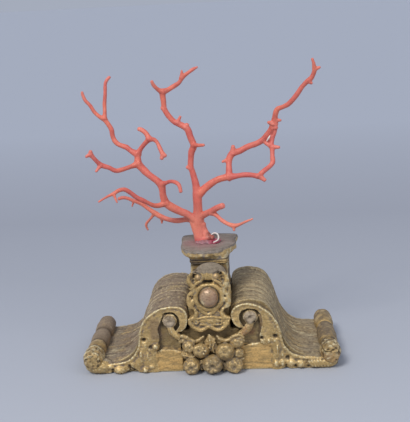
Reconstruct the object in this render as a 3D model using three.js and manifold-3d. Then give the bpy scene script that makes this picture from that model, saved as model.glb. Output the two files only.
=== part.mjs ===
// A branch of red coral fixed upright on a small carved and gilded wooden stand.
// Millimetres, +Z up. The front of the stand faces -Y. The origin is the centre of its underside.

import * as THREE from "three";
import { mergeVertices } from "three/addons/utils/BufferGeometryUtils.js";
import Module from "manifold-3d";

const wasm = await Module();
wasm.setup();

// Driving sizes of the stand
const HALF_DEPTH = 52;
const CENTRE_FRONT = -44;
const CENTRE_HALF_WIDTH = 29.7;
const FOOT_TOP = 42.5;
const WAIST_HALF_WIDTH = 20.7;
const WAIST_TOP = 69;
const NECK_LEFT = -17;
const NECK_RIGHT = 20.5;
const NECK_FRONT = -30;
const NECK_BACK = 23;
const DIE_TOP = 97;
const CAP_BOTTOM = 107.5;
const CAP_TOP = 122;
const ROLL_X = 119.5;
const ROLL_Z = 15.5;
const ROLL_RADIUS = 10;
const ROLL_BEADS = 4;
const ROLL_SIDES = 12;
const ROLL_FRONT = -56;
const KNOB_FACE_RADIUS = 6.5;
const KNOB_FULLNESS = 1.05;
const BEAD_FULLNESS = 1.03;
// How a bead swells: [how far along the bead, share of the roll's radius]
const BEAD_SWELL = [[0.06, 0.9], [0.45, BEAD_FULLNESS], [0.94, 0.88]];

// The clearance left between two solids that touch, a distance past every piece, and how finely
// round things are cut
const GAP = 0.3;
const FAR = 400;
const SAME_POINT = 1e-4;
const STOUT_LIMB = { sides: 7, radius: 2.6 };
const THIN_LIMB = { sides: 6, radius: 1.9 };
const SPUR_SIDES = 5;
const BLUNT_END_RADIUS = 1.6;
const END_REACH = 0.55;
const END_NARROWING = 0.62;
const BIG_BALL = { sides: 10, radius: 7 };
const SMALL_BALL_SIDES = 8;

// Coral centrelines: each station is [x, y, z, radius]
const TRUNK = [
  [-7.2, 1, 122.4, 7.5], [-7.7, 1.5, 127, 6.7], [-8.2, 2, 133, 6.3], [-8.7, 2, 145, 5.9],
  [-8.7, 2, 154.5, 5], [-8.7, 2, 166, 4.7], [-8.7, 2, 173, 4.7],
];
const FOOT_KNOB = [[-7, 1, 125, 5], [-2, -2, 125.5, 4.6], [3, -4, 126, 3.8], [5.5, -5, 127, 3]];
const MIDDLE = [
  [-8.7, 2, 172.8, 4.3], [-9.7, 3, 181.3, 3.6], [-11.7, 4, 191.8, 3.2], [-13.7, 5, 199.8, 3.2],
  [-13.2, 6, 208.3, 3], [-12.2, 6, 214.3, 3.3], [-9.7, 6, 220.8, 3.5], [-12.7, 7, 229.3, 3.3],
  [-15.2, 8, 236.8, 3.3], [-20.2, 9, 240.8, 3.2], [-28.2, 10, 244.8, 2.9], [-33.7, 11, 250.8, 2.9],
  [-37.2, 12, 256.8, 3], [-38.2, 13, 262.3, 2.8], [-38.7, 14, 269.3, 2.9], [-38.7, 14, 274.8, 3],
];
const MIDDLE_SPURS = [
  [[-13, 5, 197.5, 2.6], [-18.5, 5, 199, 1.4]],
  [[-9.5, 5, 221, 2.3], [-4, -3, 222, 1.8], [1.5, -9, 223, 1.5]],
  [[-17, 8, 239, 2.4], [-15, 7, 242.5, 1.9]],
  [[-25, 9, 244, 2.2], [-21.5, 8, 250.5, 1.2]],
  [[-37.5, 12.5, 259, 2.2], [-41, 12, 258.5, 1.5]],
  [[-38.5, 14, 275, 2.5], [-42.5, 12, 277.5, 2.1], [-46.5, 9, 282, 1.9], [-48.5, 7, 287, 1.7]],
  [
    [-38.5, 14, 275, 2.5], [-33.5, 15, 276.5, 2.3], [-28, 17, 279.5, 2.3], [-22, 18, 283, 2.3],
    [-18, 19, 288.5, 2.1], [-11.5, 20, 293, 1.9], [-6.5, 21, 296, 1.8], [-2.5, 22, 297.5, 1],
  ],
  [[-19, 19, 287.5, 1.9], [-18.5, 18, 295.5, 1.1]],
];
const RIGHT = [
  [-7, 2, 170.3, 4.3], [-0.5, 1, 176.8, 3.9], [6, 0, 181.8, 3.7], [13, -1, 185.8, 3.5],
  [19.5, -2, 187.8, 3.3], [25, -2, 188.3, 3.3],
];
const RIGHT_LOW = [
  [25, -2, 188.6, 3.1], [32, -5, 189.6, 2.8], [40.5, -8, 191.1, 2.7], [49, -9, 190.6, 2.7],
  [54.5, -9, 189.6, 2.9], [59, -8, 193.6, 2.4], [66, -4, 198.1, 2.4], [69, -2, 201.6, 2.5],
  [69, 0, 207.6, 2.4], [69, 3, 213.6, 2.4], [68, 5, 216.6, 2.4], [62.5, 8, 220.1, 2],
];
const RIGHT_LOW_SPURS = [
  [[54.5, -9, 190, 2.6], [61, -11, 185, 1.8]],
  [[69, 4, 216, 1.9], [76.5, 1, 216, 1.6]],
  [[68, 5, 217, 1.8], [70, 7, 224, 1.8], [72.3, 6, 230, 1.9], [73.3, 5, 234.5, 1.9]],
];
const RIGHT_UP = [
  [25, -2, 188.9, 3.1], [25, 0, 195.4, 3.1], [25, 3, 201.4, 3.1], [26, 5, 206.9, 3.6],
  [29.5, 6, 210.9, 3.6], [36.5, 7, 212.9, 3.2], [45, 8, 216.9, 3.1], [53.5, 9, 219.4, 3],
  [60, 9, 222.9, 3.2], [65.5, 8, 228.4, 3.3], [69.5, 7, 234.4, 3.2], [71.5, 6, 239.4, 3.2],
];
const RIGHT_UP_SPURS = [
  [[26, 5, 205.5, 2.6], [18, 4, 203, 1.3]],
  [[29.5, 6, 211, 2.8], [30, 5, 219, 1.8]],
  [[70, 7, 235.5, 2.4], [74.5, 3, 235.5, 1.8]],
  [[71, 6, 239, 2.2], [65.5, 3, 241.5, 1.4]],
];
const RIGHT_TIP = [
  [71.8, 6, 239.2, 3], [72.8, 5, 245.2, 2.7], [73.8, 4, 250.2, 2.7], [75.8, 3, 254.2, 2.6],
  [80.8, 1, 256.2, 2.4], [85.8, -1, 258.7, 2.4], [90.8, -3, 263.7, 2.5], [95.3, -4, 269.2, 2.5],
  [99.8, -5, 275.7, 2.4], [104.8, -6, 280.7, 2.5], [109.3, -7, 284.7, 2.4], [111.8, -8, 290.7, 2.3],
  [111.3, -10, 297.7, 1.9], [109.8, -11, 303.2, 1.5],
];
const RIGHT_TIP_SPURS = [
  [[72, 6, 243, 2.3], [79, 4, 242.5, 1.3]],
  [[106, -6, 282, 2], [109.5, -7, 278.5, 1.4]],
  [[111.5, -8, 292, 1.8], [117.5, -9, 294.5, 1.1]],
];
const STUB = [
  [-6, 1, 148, 4.2], [-2, -2, 150.5, 3.5], [5.5, -10, 155.5, 3.1], [12, -17, 160.5, 3.1],
  [18, -23, 164, 2.9],
];
const TWIG = [
  [6, -10, 154.5, 2.6], [10.5, -13, 152, 2], [15.5, -17, 148, 2.1], [21.5, -21, 145, 2.1],
  [28, -25, 143.5, 2.3], [34, -28, 145.5, 1.6], [40.5, -31, 149, 1.3], [47, -33, 152, 1],
];
const TWIG_SPUR = [[28, -25, 144, 1.8], [28, -26, 138.5, 1.3]];
const LEFT = [
  [-9.4, 2, 141.4, 4.4], [-12.9, 1, 145.4, 4.3], [-18.9, 0, 150.4, 4], [-25.9, -2, 154.4, 3.9],
  [-33.9, -4, 159.4, 4.1], [-39.9, -5, 164.4, 4.1], [-42.4, -6, 171.9, 3.6], [-42.9, -6, 178.4, 3.6],
  [-43.9, -6, 183.9, 3.8], [-47.9, -6, 188.4, 3.7], [-54.4, -5, 193.4, 3.7], [-60.4, -3, 198.9, 3.7],
  [-65.9, -2, 205.4, 3.9], [-66.4, -1, 211.4, 3.2], [-66.4, 0, 214.9, 3],
];
const CURL = [
  [-43.5, -6, 184.3, 2.7], [-37.5, -12, 187.3, 2.1], [-33, -17, 189.3, 1.9], [-28, -22, 189.3, 2],
  [-24, -26, 186.8, 2], [-22.5, -28, 180.3, 1.9],
];
const OUTER = [
  [-65.5, -2, 205.6, 3.1], [-73.5, -5, 203.6, 2.5], [-81.5, -8, 201.6, 2.4], [-88, -11, 201.1, 2.4],
  [-94, -12, 204.6, 2.4], [-102, -13, 208.1, 2.6], [-107, -16, 214.1, 2.2], [-110.5, -17, 219.6, 2.4],
  [-110.5, -18, 223.6, 1.6],
];
const OUTER_SPURS = [
  [[-102, -13, 208.5, 2], [-107, -17, 202, 1.3]],
  [[-110.5, -17, 220, 1.8], [-115.5, -20, 218, 1.4]],
];
const HIGH = [
  [-66.4, 0, 215.2, 2.9], [-71.9, 2, 217.7, 2.6], [-77.4, 4, 221.7, 2.6], [-85.4, 6, 224.7, 2.5],
  [-89.9, 8, 228.7, 2.6], [-91.9, 9, 234.7, 2.4], [-92.4, 9, 239.7, 2.5], [-95.9, 10, 246.2, 2.4],
  [-99.4, 11, 250.2, 2.5], [-104.4, 11, 253.7, 2.2], [-108.9, 12, 258.2, 2.1], [-112.9, 13, 264.7, 2],
  [-117.4, 14, 269.7, 1.9], [-119.9, 15, 275.2, 1.8], [-120.4, 15, 278.7, 1.4],
];
const HIGH_FORK = [
  [-99, 11, 250.5, 2.2], [-98.5, 13, 256.5, 1.9], [-98.5, 16, 266, 2], [-97.5, 18, 275.5, 2],
  [-97, 20, 285, 1.9], [-95, 21, 289, 1.9], [-92, 22, 292, 1.6],
];
const HOOKED = [[-66, 0, 215.5, 2.6], [-62.5, -2, 221, 2.5], [-58.5, -4, 225.5, 2.5], [-53, -6, 231, 2.6]];
const HOOKED_FORKS = [
  [[-53, -6, 231, 2.5], [-56, -4, 236.5, 2.3], [-60.5, -2, 240, 2.4], [-64, -1, 241, 2]],
  [
    [-53, -6, 231, 2.2], [-47.5, -12, 231, 2], [-44, -16, 228.5, 2], [-41, -20, 222.5, 2],
    [-39, -23, 218, 2.1], [-40, -25, 213.5, 1.7],
  ],
  [[-39, -23, 218, 2], [-35.5, -25, 216.5, 1.6]],
];
const LOW_FRONT = [
  [-39.5, -5, 164.8, 3.1], [-47.5, -9, 163.3, 2.5], [-53.5, -12, 164.8, 2.4], [-60, -15, 169.3, 2.4],
  [-67.5, -18, 174.3, 2.4], [-74, -21, 180.8, 2.3], [-79, -23, 184.3, 2.1], [-84.5, -25, 183.8, 2.1],
  [-89.5, -27, 181.3, 2], [-96, -29, 178.8, 1.4], [-104.5, -31, 174.3, 1.1],
];
const LOW_FRONT_SPUR = [[-89.5, -27, 181.5, 1.5], [-86, -30, 172.5, 0.9]];
const LOW_BACK = [
  [-12.7, 4, 142.8, 3.2], [-21.2, 8, 143.3, 2.7], [-31.7, 11, 141.8, 2.7], [-40.2, 13, 142.8, 2.7],
  [-47.7, 15, 145.3, 2.7], [-54.2, 16, 149.3, 2.7], [-61.2, 17, 154.3, 2.2], [-68.7, 18, 159.8, 2.2],
  [-76.2, 19, 162.8, 2], [-83.7, 20, 165.8, 1.9], [-88.7, 20, 166.3, 1.9], [-92.7, 20, 164.8, 1.5],
];
const LOW_BACK_SPURS = [
  [[-54, 16, 150, 1.8], [-59.5, 18, 143.5, 1.3], [-65, 20, 136.5, 1.5], [-63.5, 21, 130, 1.2]],
  [[-47.5, 15, 144.5, 1.6], [-48, 16, 138, 1]],
  [[-76, 19, 163.5, 1.4], [-78.5, 20, 156.5, 0.9]],
];

// Each coral node: the limbs grown together in it, and the nodes that it springs from
const CORAL_NODES = {
  coral_trunk: { limbs: [TRUNK, FOOT_KNOB], from: [] },
  coral_middle_limb: { limbs: [MIDDLE, ...MIDDLE_SPURS], from: ["coral_trunk"] },
  coral_right_limb: { limbs: [RIGHT], from: ["coral_trunk", "coral_middle_limb"] },
  coral_right_upper_branch: { limbs: [RIGHT_UP, ...RIGHT_UP_SPURS], from: ["coral_right_limb"] },
  coral_right_tip: { limbs: [RIGHT_TIP, ...RIGHT_TIP_SPURS], from: ["coral_right_upper_branch"] },
  coral_right_lower_branch: {
    limbs: [RIGHT_LOW, ...RIGHT_LOW_SPURS],
    from: ["coral_right_limb", "coral_right_upper_branch"],
  },
  coral_left_limb: { limbs: [LEFT], from: ["coral_trunk"] },
  coral_left_curl: { limbs: [CURL], from: ["coral_left_limb"] },
  coral_left_high_branch: { limbs: [HIGH, HIGH_FORK], from: ["coral_left_limb"] },
  coral_left_outer_branch: { limbs: [OUTER, ...OUTER_SPURS], from: ["coral_left_limb"] },
  coral_left_hooked_branch: {
    limbs: [HOOKED, ...HOOKED_FORKS],
    from: ["coral_left_limb", "coral_left_high_branch"],
  },
  coral_low_front_branch: { limbs: [LOW_FRONT, LOW_FRONT_SPUR], from: ["coral_left_limb"] },
  coral_low_back_branch: {
    limbs: [LOW_BACK, ...LOW_BACK_SPURS],
    from: ["coral_trunk", "coral_left_limb"],
  },
  coral_stub_and_twig: {
    limbs: [STUB, TWIG, TWIG_SPUR],
    from: ["coral_trunk", "coral_left_limb"],
  },
};

// The scroll profiles in the X-Z plane, from the cradle of the end roll over the shoulder to its curl
const LEFT_PROFILE = [
  [-30, 0], [-122, 0], [-126.5, 2.5], [-128, 8], [-119.5, 12], [-107, 12], [-97, 13], [-87, 16],
  [-79, 22], [-74, 30], [-70.5, 41], [-67, 52], [-62, 61.5], [-54, 68.5], [-43.5, 72.5], [-33, 73],
  [-26, 71], [-22, 65.5], [-21.2, 58], [-23, 50.5], [-27, 45.5], [-30, 43],
];
const RIGHT_PROFILE = [
  [30, 0], [122, 0], [126.5, 2.5], [128, 8], [119.5, 12], [108, 13.5], [98, 14], [88, 16.5],
  [80, 23], [74.5, 31.5], [70, 43], [66, 55], [62, 65], [56, 72.5], [48.5, 76], [39, 77],
  [29, 75.3], [23, 70.5], [21.2, 62], [22.5, 54], [27, 48], [30, 45],
];

// The hollow face inside each scroll's front band
const LEFT_HOLLOW = [
  [-33, 27], [-50.5, 27], [-51, 46], [-49.5, 57], [-45, 63], [-35.5, 64], [-30, 59.5],
  [-29.5, 53], [-33, 46], [-34, 38],
];
const RIGHT_HOLLOW = [
  [34, 27], [49, 27], [51, 46], [51.5, 57], [48.5, 62.5], [41, 65.3], [33.5, 63.5],
  [30, 58.5], [31.5, 50], [34.5, 46],
];
const HOLLOW_DEPTH = 9;
const SCROLL_EASE = 2;
const FRONT_FALL = 0.05;
// Where a scroll's lower part ends beside the centre block
const INNER_SIDE = CENTRE_HALF_WIDTH + GAP;

// Balls in the eyes of the scrolls, stems and leaves carved with them: [x, y, z, rx, ry, rz]
const LEFT_RELIEF = [
  [-40, -47, 54.5, 7.6, 7, 7.6], [-54.5, -52, 28, 4.5, 3, 4.5], [-58.5, -52, 15, 5, 3, 10],
  [-66, -52, 36, 6, 3, 6.5], [-64, -52, 5, 5, 3, 5], [-92, -52, 5.5, 6, 3, 5.5],
  [-76, -52, 12, 6, 3, 6],
];
const RIGHT_RELIEF = [
  [40.5, -47, 57, 7.4, 7, 7.4], [58, -52, 31, 5, 3, 6], [62, -52, 22, 4, 3, 8],
  [66, -52, 36, 5, 3, 6], [76, -52, 11, 7, 3, 6], [92, -52, 5.5, 8, 3, 5.5],
  [108, -52, 6, 9, 3, 6],
];
const LEFT_STEM = [[-39, -48, 50, 2.5], [-33, -49, 42, 3], [-31, -50, 36, 3]];
const RIGHT_STEM = [[41, -48, 52, 3], [36, -49, 44, 3.5], [32, -50, 37, 3.5]];

// The bunch of fruit on the front, with the scalloped ribbon above it: [x, y, z, rx, ry, rz]
const FRUITS = [
  [-21.5, -55, 29, 6.2, 6, 6.2], [-9, -57, 24.5, 7.6, 7, 7.6], [14.5, -57, 22, 9.5, 8, 9.5],
  [26, -54, 30.5, 7, 6, 5.2], [27, -53, 19.5, 5.4, 5, 5.4], [-19.5, -57, 8.6, 8.4, 8, 8.2],
  [1.5, -58, 10.2, 10.4, 9, 10], [22.5, -56, 8.4, 9.5, 8, 8], [0, -53, 33, 6, 5, 6],
];
const RIBBONS = [
  [[-30, -51, 36, 2.5], [-24, -54, 37.5, 2.6], [-13, -54, 33, 2.4], [-6, -52, 34, 2.4]],
  [[32, -51, 37, 2.5], [25, -54, 37.5, 2.6], [13, -54, 32.5, 2.4], [6, -52, 34, 2.4]],
];

// The leafy ground that the bunch is carved on, an X-Z outline
const BUNCH_GROUND = [
  [-27, 2], [29, 2], [33, 18], [34, 36], [20, 36], [0, 34], [-20, 36], [-31, 36], [-29, 18],
];
const BUNCH_GROUND_FRONT = -51;

// The cartouche: its outline in the X-Z plane, its oval boss and its scrolls
const CARTOUCHE_OUTLINE = [
  [0, 48], [6, 44.5], [11, 44.5], [16, 48], [20.5, 55], [15, 59], [13.5, 63], [15.5, 67],
  [20, 69], [22.5, 77], [22.5, 86], [19, 98], [13, 109], [4, 113], [-6, 111], [-14, 104],
  [-18.8, 98], [-18, 85], [-20.5, 76], [-19, 68.5], [-15, 67], [-13, 62.5], [-15, 58.5],
  [-20.3, 56.5], [-17, 49], [-9, 44.3], [-4, 45.5],
];
const CARTOUCHE_FRONT = -54;
const PLATE_EASE = 1.5;
const BOSS = [1, -54, 79.5, 9.2, 7.5, 10.3];
const BOSS_RIM = { x: 1, y: -55, z: 79.5, radius: 11.2, bead: 1.7, stretch: 1.12, sides: 5, steps: 16 };
const DOME = [3.5, -49, 103, 12.5, 6, 9.5];
const CARTOUCHE_CURLS = [[-8, 101], [8.3, 101.8], [-16, 93], [17.5, 92], [-14.5, 54], [15, 54.5]];
const SHIELD_CURL = { radius: 4, length: 8, sides: 8 };

// The cap: its plan at the top, then how its mouldings step in below: [height, scale of the plan]
const CAP_PLAN = [
  [-23, 26.5], [27, 26], [27.5, 8], [27, -9], [22.5, -21.5], [13.5, -32], [2, -37],
  [-11, -37], [-19.3, -34], [-25.8, -21], [-26.8, 0],
];
const CAP_CENTRE = [1.7, -3.5];
const CAP_LEVELS = [
  [CAP_BOTTOM, 0.74], [109, 0.74], [110.5, 0.83], [112.5, 0.83], [114, 0.8], [116.5, 0.93],
  [118, 1], [CAP_TOP - 1, 1], [CAP_TOP, 0.975],
];

// The wax that the coral's foot is set in, and the stiff wire standing in it
const WAX = [0.5, -3.5, 122.8, 13, 9.5, 2.2];
const WIRE = [
  [5, -4.5, 129, 0.65], [7.8, -5, 131, 0.65], [10.4, -5.5, 130.3, 0.65], [11.5, -6, 127.8, 0.65],
  [11, -7, 124.8, 0.65], [9, -8, 122.6, 0.65],
];

const MATERIALS = {
  coral: new THREE.MeshStandardMaterial({ color: "#dc6455", roughness: 0.42, metalness: 0 }),
  gilded_wood: new THREE.MeshStandardMaterial({ color: "#a58650", roughness: 0.55, metalness: 0.25 }),
  worn_wood: new THREE.MeshStandardMaterial({ color: "#82735f", roughness: 0.75, metalness: 0 }),
  wax: new THREE.MeshStandardMaterial({ color: "#a34660", roughness: 0.5, metalness: 0 }),
  wire: new THREE.MeshStandardMaterial({ color: "#e6dfd6", roughness: 0.6, metalness: 0 }),
};

// A closed solid from a geometry, with its shared corners merged
function solidOf(geometry) {
  geometry.deleteAttribute("normal");
  geometry.deleteAttribute("uv");
  const merged = mergeVertices(geometry, SAME_POINT);
  return new wasm.Manifold(new wasm.Mesh({
    numProp: 3,
    vertProperties: new Float32Array(merged.attributes.position.array),
    triVerts: new Uint32Array(merged.index.array),
  }));
}

function joined(solids) {
  return solids.reduce((whole, next) => whole.add(next));
}

function limbSides(radius) {
  if (radius > STOUT_LIMB.radius) {
    return STOUT_LIMB.sides;
  }
  return radius > THIN_LIMB.radius ? THIN_LIMB.sides : SPUR_SIDES;
}

// A cylinder bent along the stations, as thick as they say, with a slightly rounded free end
function limb(stations, swelling = 0) {
  const rings = stations.map(([x, y, z, r]) => ({ at: new THREE.Vector3(x, y, z), r: r + swelling }));
  const last = rings.at(-1);
  const onward = last.at.clone().sub(rings.at(-2).at).normalize();
  if (last.r > BLUNT_END_RADIUS) {
    const tip = last.at.clone().addScaledVector(onward, END_REACH * last.r);
    rings.push({ at: tip, r: END_NARROWING * last.r });
  }
  const side = new THREE.Vector3(0, 1, 0);
  for (const [i, ring] of rings.entries()) {
    const before = rings[Math.max(i - 1, 0)].at;
    const after = rings[Math.min(i + 1, rings.length - 1)].at;
    const along = after.clone().sub(before).normalize();
    side.addScaledVector(along, -side.dot(along)).normalize();
    ring.side = side.clone();
    ring.across = along.clone().cross(side);
  }
  const geometry = new THREE.CylinderGeometry(1, 1, 1, limbSides(stations[0][3]), rings.length - 1);
  const place = geometry.attributes.position;
  for (let i = 0; i < place.count; i += 1) {
    const ring = rings[Math.round((0.5 - place.getY(i)) * (rings.length - 1))];
    const point = ring.at.clone();
    point.addScaledVector(ring.side, place.getX(i) * ring.r);
    point.addScaledVector(ring.across, place.getZ(i) * ring.r);
    place.setXYZ(i, point.x, point.y, point.z);
  }
  return solidOf(geometry);
}

// An X-Z outline carried from one Y to another, with its edges eased on both faces. A fall makes it
// that much lower at the front than at the back.
function slab(outline, front, back, ease = 0, fall = 0) {
  const shape = new THREE.Shape(outline.map(([x, z]) => new THREE.Vector2(x, z)));
  const geometry = new THREE.ExtrudeGeometry(shape, {
    depth: back - front - 2 * ease,
    bevelEnabled: ease > 0,
    bevelThickness: ease,
    bevelSize: ease,
    bevelOffset: -ease,
    bevelSegments: 1,
  });
  geometry.rotateX(Math.PI / 2);
  geometry.translate(0, back - ease, 0);
  const place = geometry.attributes.position;
  for (let i = 0; i < place.count; i += 1) {
    const forward = (back - place.getY(i)) / (back - front);
    place.setZ(i, place.getZ(i) * (1 - fall * forward));
  }
  return solidOf(geometry);
}

function block(x0, x1, y0, y1, z0, z1) {
  const geometry = new THREE.BoxGeometry(x1 - x0, y1 - y0, z1 - z0);
  geometry.translate((x0 + x1) / 2, (y0 + y1) / 2, (z0 + z1) / 2);
  return solidOf(geometry);
}

function ball([x, y, z, rx, ry, rz], swelling = 0) {
  const sides = Math.max(rx, rz) > BIG_BALL.radius ? BIG_BALL.sides : SMALL_BALL_SIDES;
  const geometry = new THREE.SphereGeometry(1, sides, sides / 2);
  geometry.rotateX(Math.PI / 2);
  geometry.scale(rx + swelling, ry + swelling, rz + swelling);
  geometry.translate(x, y, z);
  return solidOf(geometry);
}

// Everything above the floor that the stand rests on
function aboveFloor(solid) {
  return solid.intersect(block(-FAR, FAR, -FAR, FAR, 0, FAR));
}

// Everything clear of the cap's top face
function aboveCap(solid) {
  return solid.subtract(block(-FAR, FAR, -FAR, FAR, 0, CAP_TOP + GAP));
}

// A turned roll lying front to back: beads between narrow necks, with a fuller knob in front
function endRoll(x) {
  const profile = [new THREE.Vector2(0, ROLL_FRONT), new THREE.Vector2(KNOB_FACE_RADIUS, ROLL_FRONT + 1)];
  const bead = (2 * HALF_DEPTH) / ROLL_BEADS;
  for (let i = 0; i < ROLL_BEADS; i += 1) {
    const fullness = i === 0 ? KNOB_FULLNESS : 1;
    for (const [part, share] of BEAD_SWELL) {
      profile.push(new THREE.Vector2(ROLL_RADIUS * share * fullness, -HALF_DEPTH + (i + part) * bead));
    }
  }
  profile.push(new THREE.Vector2(0, HALF_DEPTH));
  const geometry = new THREE.LatheGeometry(profile, ROLL_SIDES);
  geometry.translate(x, 0, ROLL_Z);
  return solidOf(geometry);
}

// The round room that a roll lies in
function rollRoom(x) {
  const radius = ROLL_RADIUS * KNOB_FULLNESS * BEAD_FULLNESS + GAP;
  const geometry = new THREE.CylinderGeometry(radius, radius, 4 * HALF_DEPTH, ROLL_SIDES);
  geometry.translate(x, 0, ROLL_Z);
  return solidOf(geometry);
}

// The cap's plan, stepped in level by level from its top to the neck
function cap() {
  const levels = CAP_LEVELS;
  const geometry = new THREE.CylinderGeometry(1, 1, 1, CAP_PLAN.length, levels.length - 1);
  const place = geometry.attributes.position;
  const [cx, cy] = CAP_CENTRE;
  for (let i = 0; i < place.count; i += 1) {
    const [height, share] = levels[Math.round((place.getY(i) + 0.5) * (levels.length - 1))];
    const onAxis = Math.hypot(place.getX(i), place.getZ(i)) < 0.5;
    const turn = Math.atan2(place.getX(i), place.getZ(i)) / (2 * Math.PI);
    const corner = Math.round(turn * CAP_PLAN.length + CAP_PLAN.length) % CAP_PLAN.length;
    const [px, py] = CAP_PLAN[(CAP_PLAN.length - corner) % CAP_PLAN.length];
    const reach = onAxis ? 0 : share;
    place.setXYZ(i, cx + (px - cx) * reach, cy + (py - cy) * reach, height);
  }
  return solidOf(geometry);
}

// The block in the middle: wide below the scrolls, then a die behind the cartouche, then the neck
function centreBlock() {
  const foot = block(-CENTRE_HALF_WIDTH, CENTRE_HALF_WIDTH, CENTRE_FRONT, HALF_DEPTH, 0, FOOT_TOP);
  const waist = block(-WAIST_HALF_WIDTH, WAIST_HALF_WIDTH, CENTRE_FRONT, HALF_DEPTH, 0, WAIST_TOP);
  const die = block(NECK_LEFT, NECK_RIGHT, CENTRE_FRONT, NECK_BACK, 0, DIE_TOP);
  const neck = block(NECK_LEFT, NECK_RIGHT, NECK_FRONT, NECK_BACK, 0, CAP_BOTTOM - GAP);
  return joined([foot, waist, die, neck]);
}

// A scroll: its profile from front to back, hollowed inside the front band, with its carved parts
function scroll(profile, hollow, relief, stem, rollX) {
  const body = slab(profile, -HALF_DEPTH, HALF_DEPTH, SCROLL_EASE, FRONT_FALL);
  const pocket = slab(hollow, -FAR, -HALF_DEPTH + HOLLOW_DEPTH);
  const carved = [body.subtract(pocket), ...relief.map((lump) => ball(lump)), limb(stem)];
  const middle = block(-INNER_SIDE, INNER_SIDE, -FAR, FAR, -FAR, FOOT_TOP + GAP);
  return aboveFloor(joined(carved).subtract(rollRoom(rollX)).subtract(middle));
}

// Fruits and the ribbon over them, flat behind where they lie on the centre block
function fruitBunch() {
  const ground = slab(BUNCH_GROUND, BUNCH_GROUND_FRONT, CENTRE_FRONT - GAP);
  const ribbons = RIBBONS.map((path) => limb(path));
  const lumps = joined([ground, ...FRUITS.map((fruit) => ball(fruit)), ...ribbons]);
  const back = block(-FAR, FAR, CENTRE_FRONT - GAP, FAR, -FAR, FAR);
  return aboveFloor(lumps.subtract(back));
}

function ovalRim({ x, y, z, radius, bead, stretch, sides, steps }) {
  const geometry = new THREE.TorusGeometry(radius, bead, sides, steps);
  geometry.rotateX(Math.PI / 2);
  geometry.scale(1, 1, stretch);
  geometry.translate(x, y, z);
  return solidOf(geometry);
}

// A short round curl standing out of the cartouche's face
function curl([x, z]) {
  const { radius, length, sides } = SHIELD_CURL;
  const geometry = new THREE.CylinderGeometry(radius, radius, length, sides);
  geometry.translate(x, CARTOUCHE_FRONT, z);
  return solidOf(geometry);
}

function cartouche() {
  const plate = slab(CARTOUCHE_OUTLINE, CARTOUCHE_FRONT, CENTRE_FRONT - GAP, PLATE_EASE);
  const raised = [ball(BOSS), ovalRim(BOSS_RIM), ball(DOME), ...CARTOUCHE_CURLS.map(curl)];
  const behind = block(-FAR, FAR, CENTRE_FRONT - GAP, FAR, -FAR, FAR);
  return joined([plate, ...raised]).subtract(behind);
}

function waxBed(trunk, wire) {
  return aboveCap(ball(WAX)).subtract(trunk).subtract(wire);
}

const group = new THREE.Group();
group.name = "coral_branch_on_stand";

function addMesh(name, solid, material) {
  const { numProp, vertProperties, triVerts } = solid.getMesh();
  if (numProp !== 3) {
    throw new Error(`${name} carries more than positions`);
  }
  const geometry = new THREE.BufferGeometry();
  geometry.setAttribute("position", new THREE.BufferAttribute(new Float32Array(vertProperties), 3));
  geometry.setIndex(new THREE.BufferAttribute(new Uint32Array(triVerts), 1));
  geometry.computeVertexNormals();
  const mesh = new THREE.Mesh(geometry, MATERIALS[material]);
  mesh.name = name;
  group.add(mesh);
}

// The stand
const bunch = fruitBunch();
const bunchRoom = joined([
  slab(BUNCH_GROUND, BUNCH_GROUND_FRONT - GAP, CENTRE_FRONT),
  ...FRUITS.map((fruit) => ball(fruit, GAP)),
  ...RIBBONS.map((path) => limb(path, GAP)),
]);
const shield = cartouche();
const leftScroll = scroll(LEFT_PROFILE, LEFT_HOLLOW, LEFT_RELIEF, LEFT_STEM, -ROLL_X);
const rightScroll = scroll(RIGHT_PROFILE, RIGHT_HOLLOW, RIGHT_RELIEF, RIGHT_STEM, ROLL_X);
addMesh("centre_block", centreBlock(), "gilded_wood");
addMesh("left_scroll", leftScroll.subtract(bunchRoom), "gilded_wood");
addMesh("right_scroll", rightScroll.subtract(bunchRoom), "gilded_wood");
addMesh("left_end_roll", aboveFloor(endRoll(-ROLL_X)), "worn_wood");
addMesh("right_end_roll", aboveFloor(endRoll(ROLL_X)), "worn_wood");
addMesh("fruit_bunch", bunch, "gilded_wood");
addMesh("cartouche", shield, "gilded_wood");
addMesh("pedestal_cap", cap(), "worn_wood");

// The coral, one node to a limb, each cut clear of what it springs from
for (const [name, { limbs, from }] of Object.entries(CORAL_NODES)) {
  const grown = joined(limbs.map((stations) => limb(stations)));
  const parents = from.flatMap((parent) => CORAL_NODES[parent].limbs);
  const room = parents.map((stations) => limb(stations, GAP));
  const clear = room.length > 0 ? grown.subtract(joined(room)) : aboveCap(grown);
  addMesh(name, clear, "coral");
}

// The wax bed and the wire in it
const trunkRoom = joined([TRUNK, FOOT_KNOB].map((stations) => limb(stations, GAP)));
const wire = aboveCap(limb(WIRE)).subtract(trunkRoom);
addMesh("wire_loop", wire, "wire");
addMesh("wax_bed", waxBed(trunkRoom, limb(WIRE, GAP)), "wax");

export default group;
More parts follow.
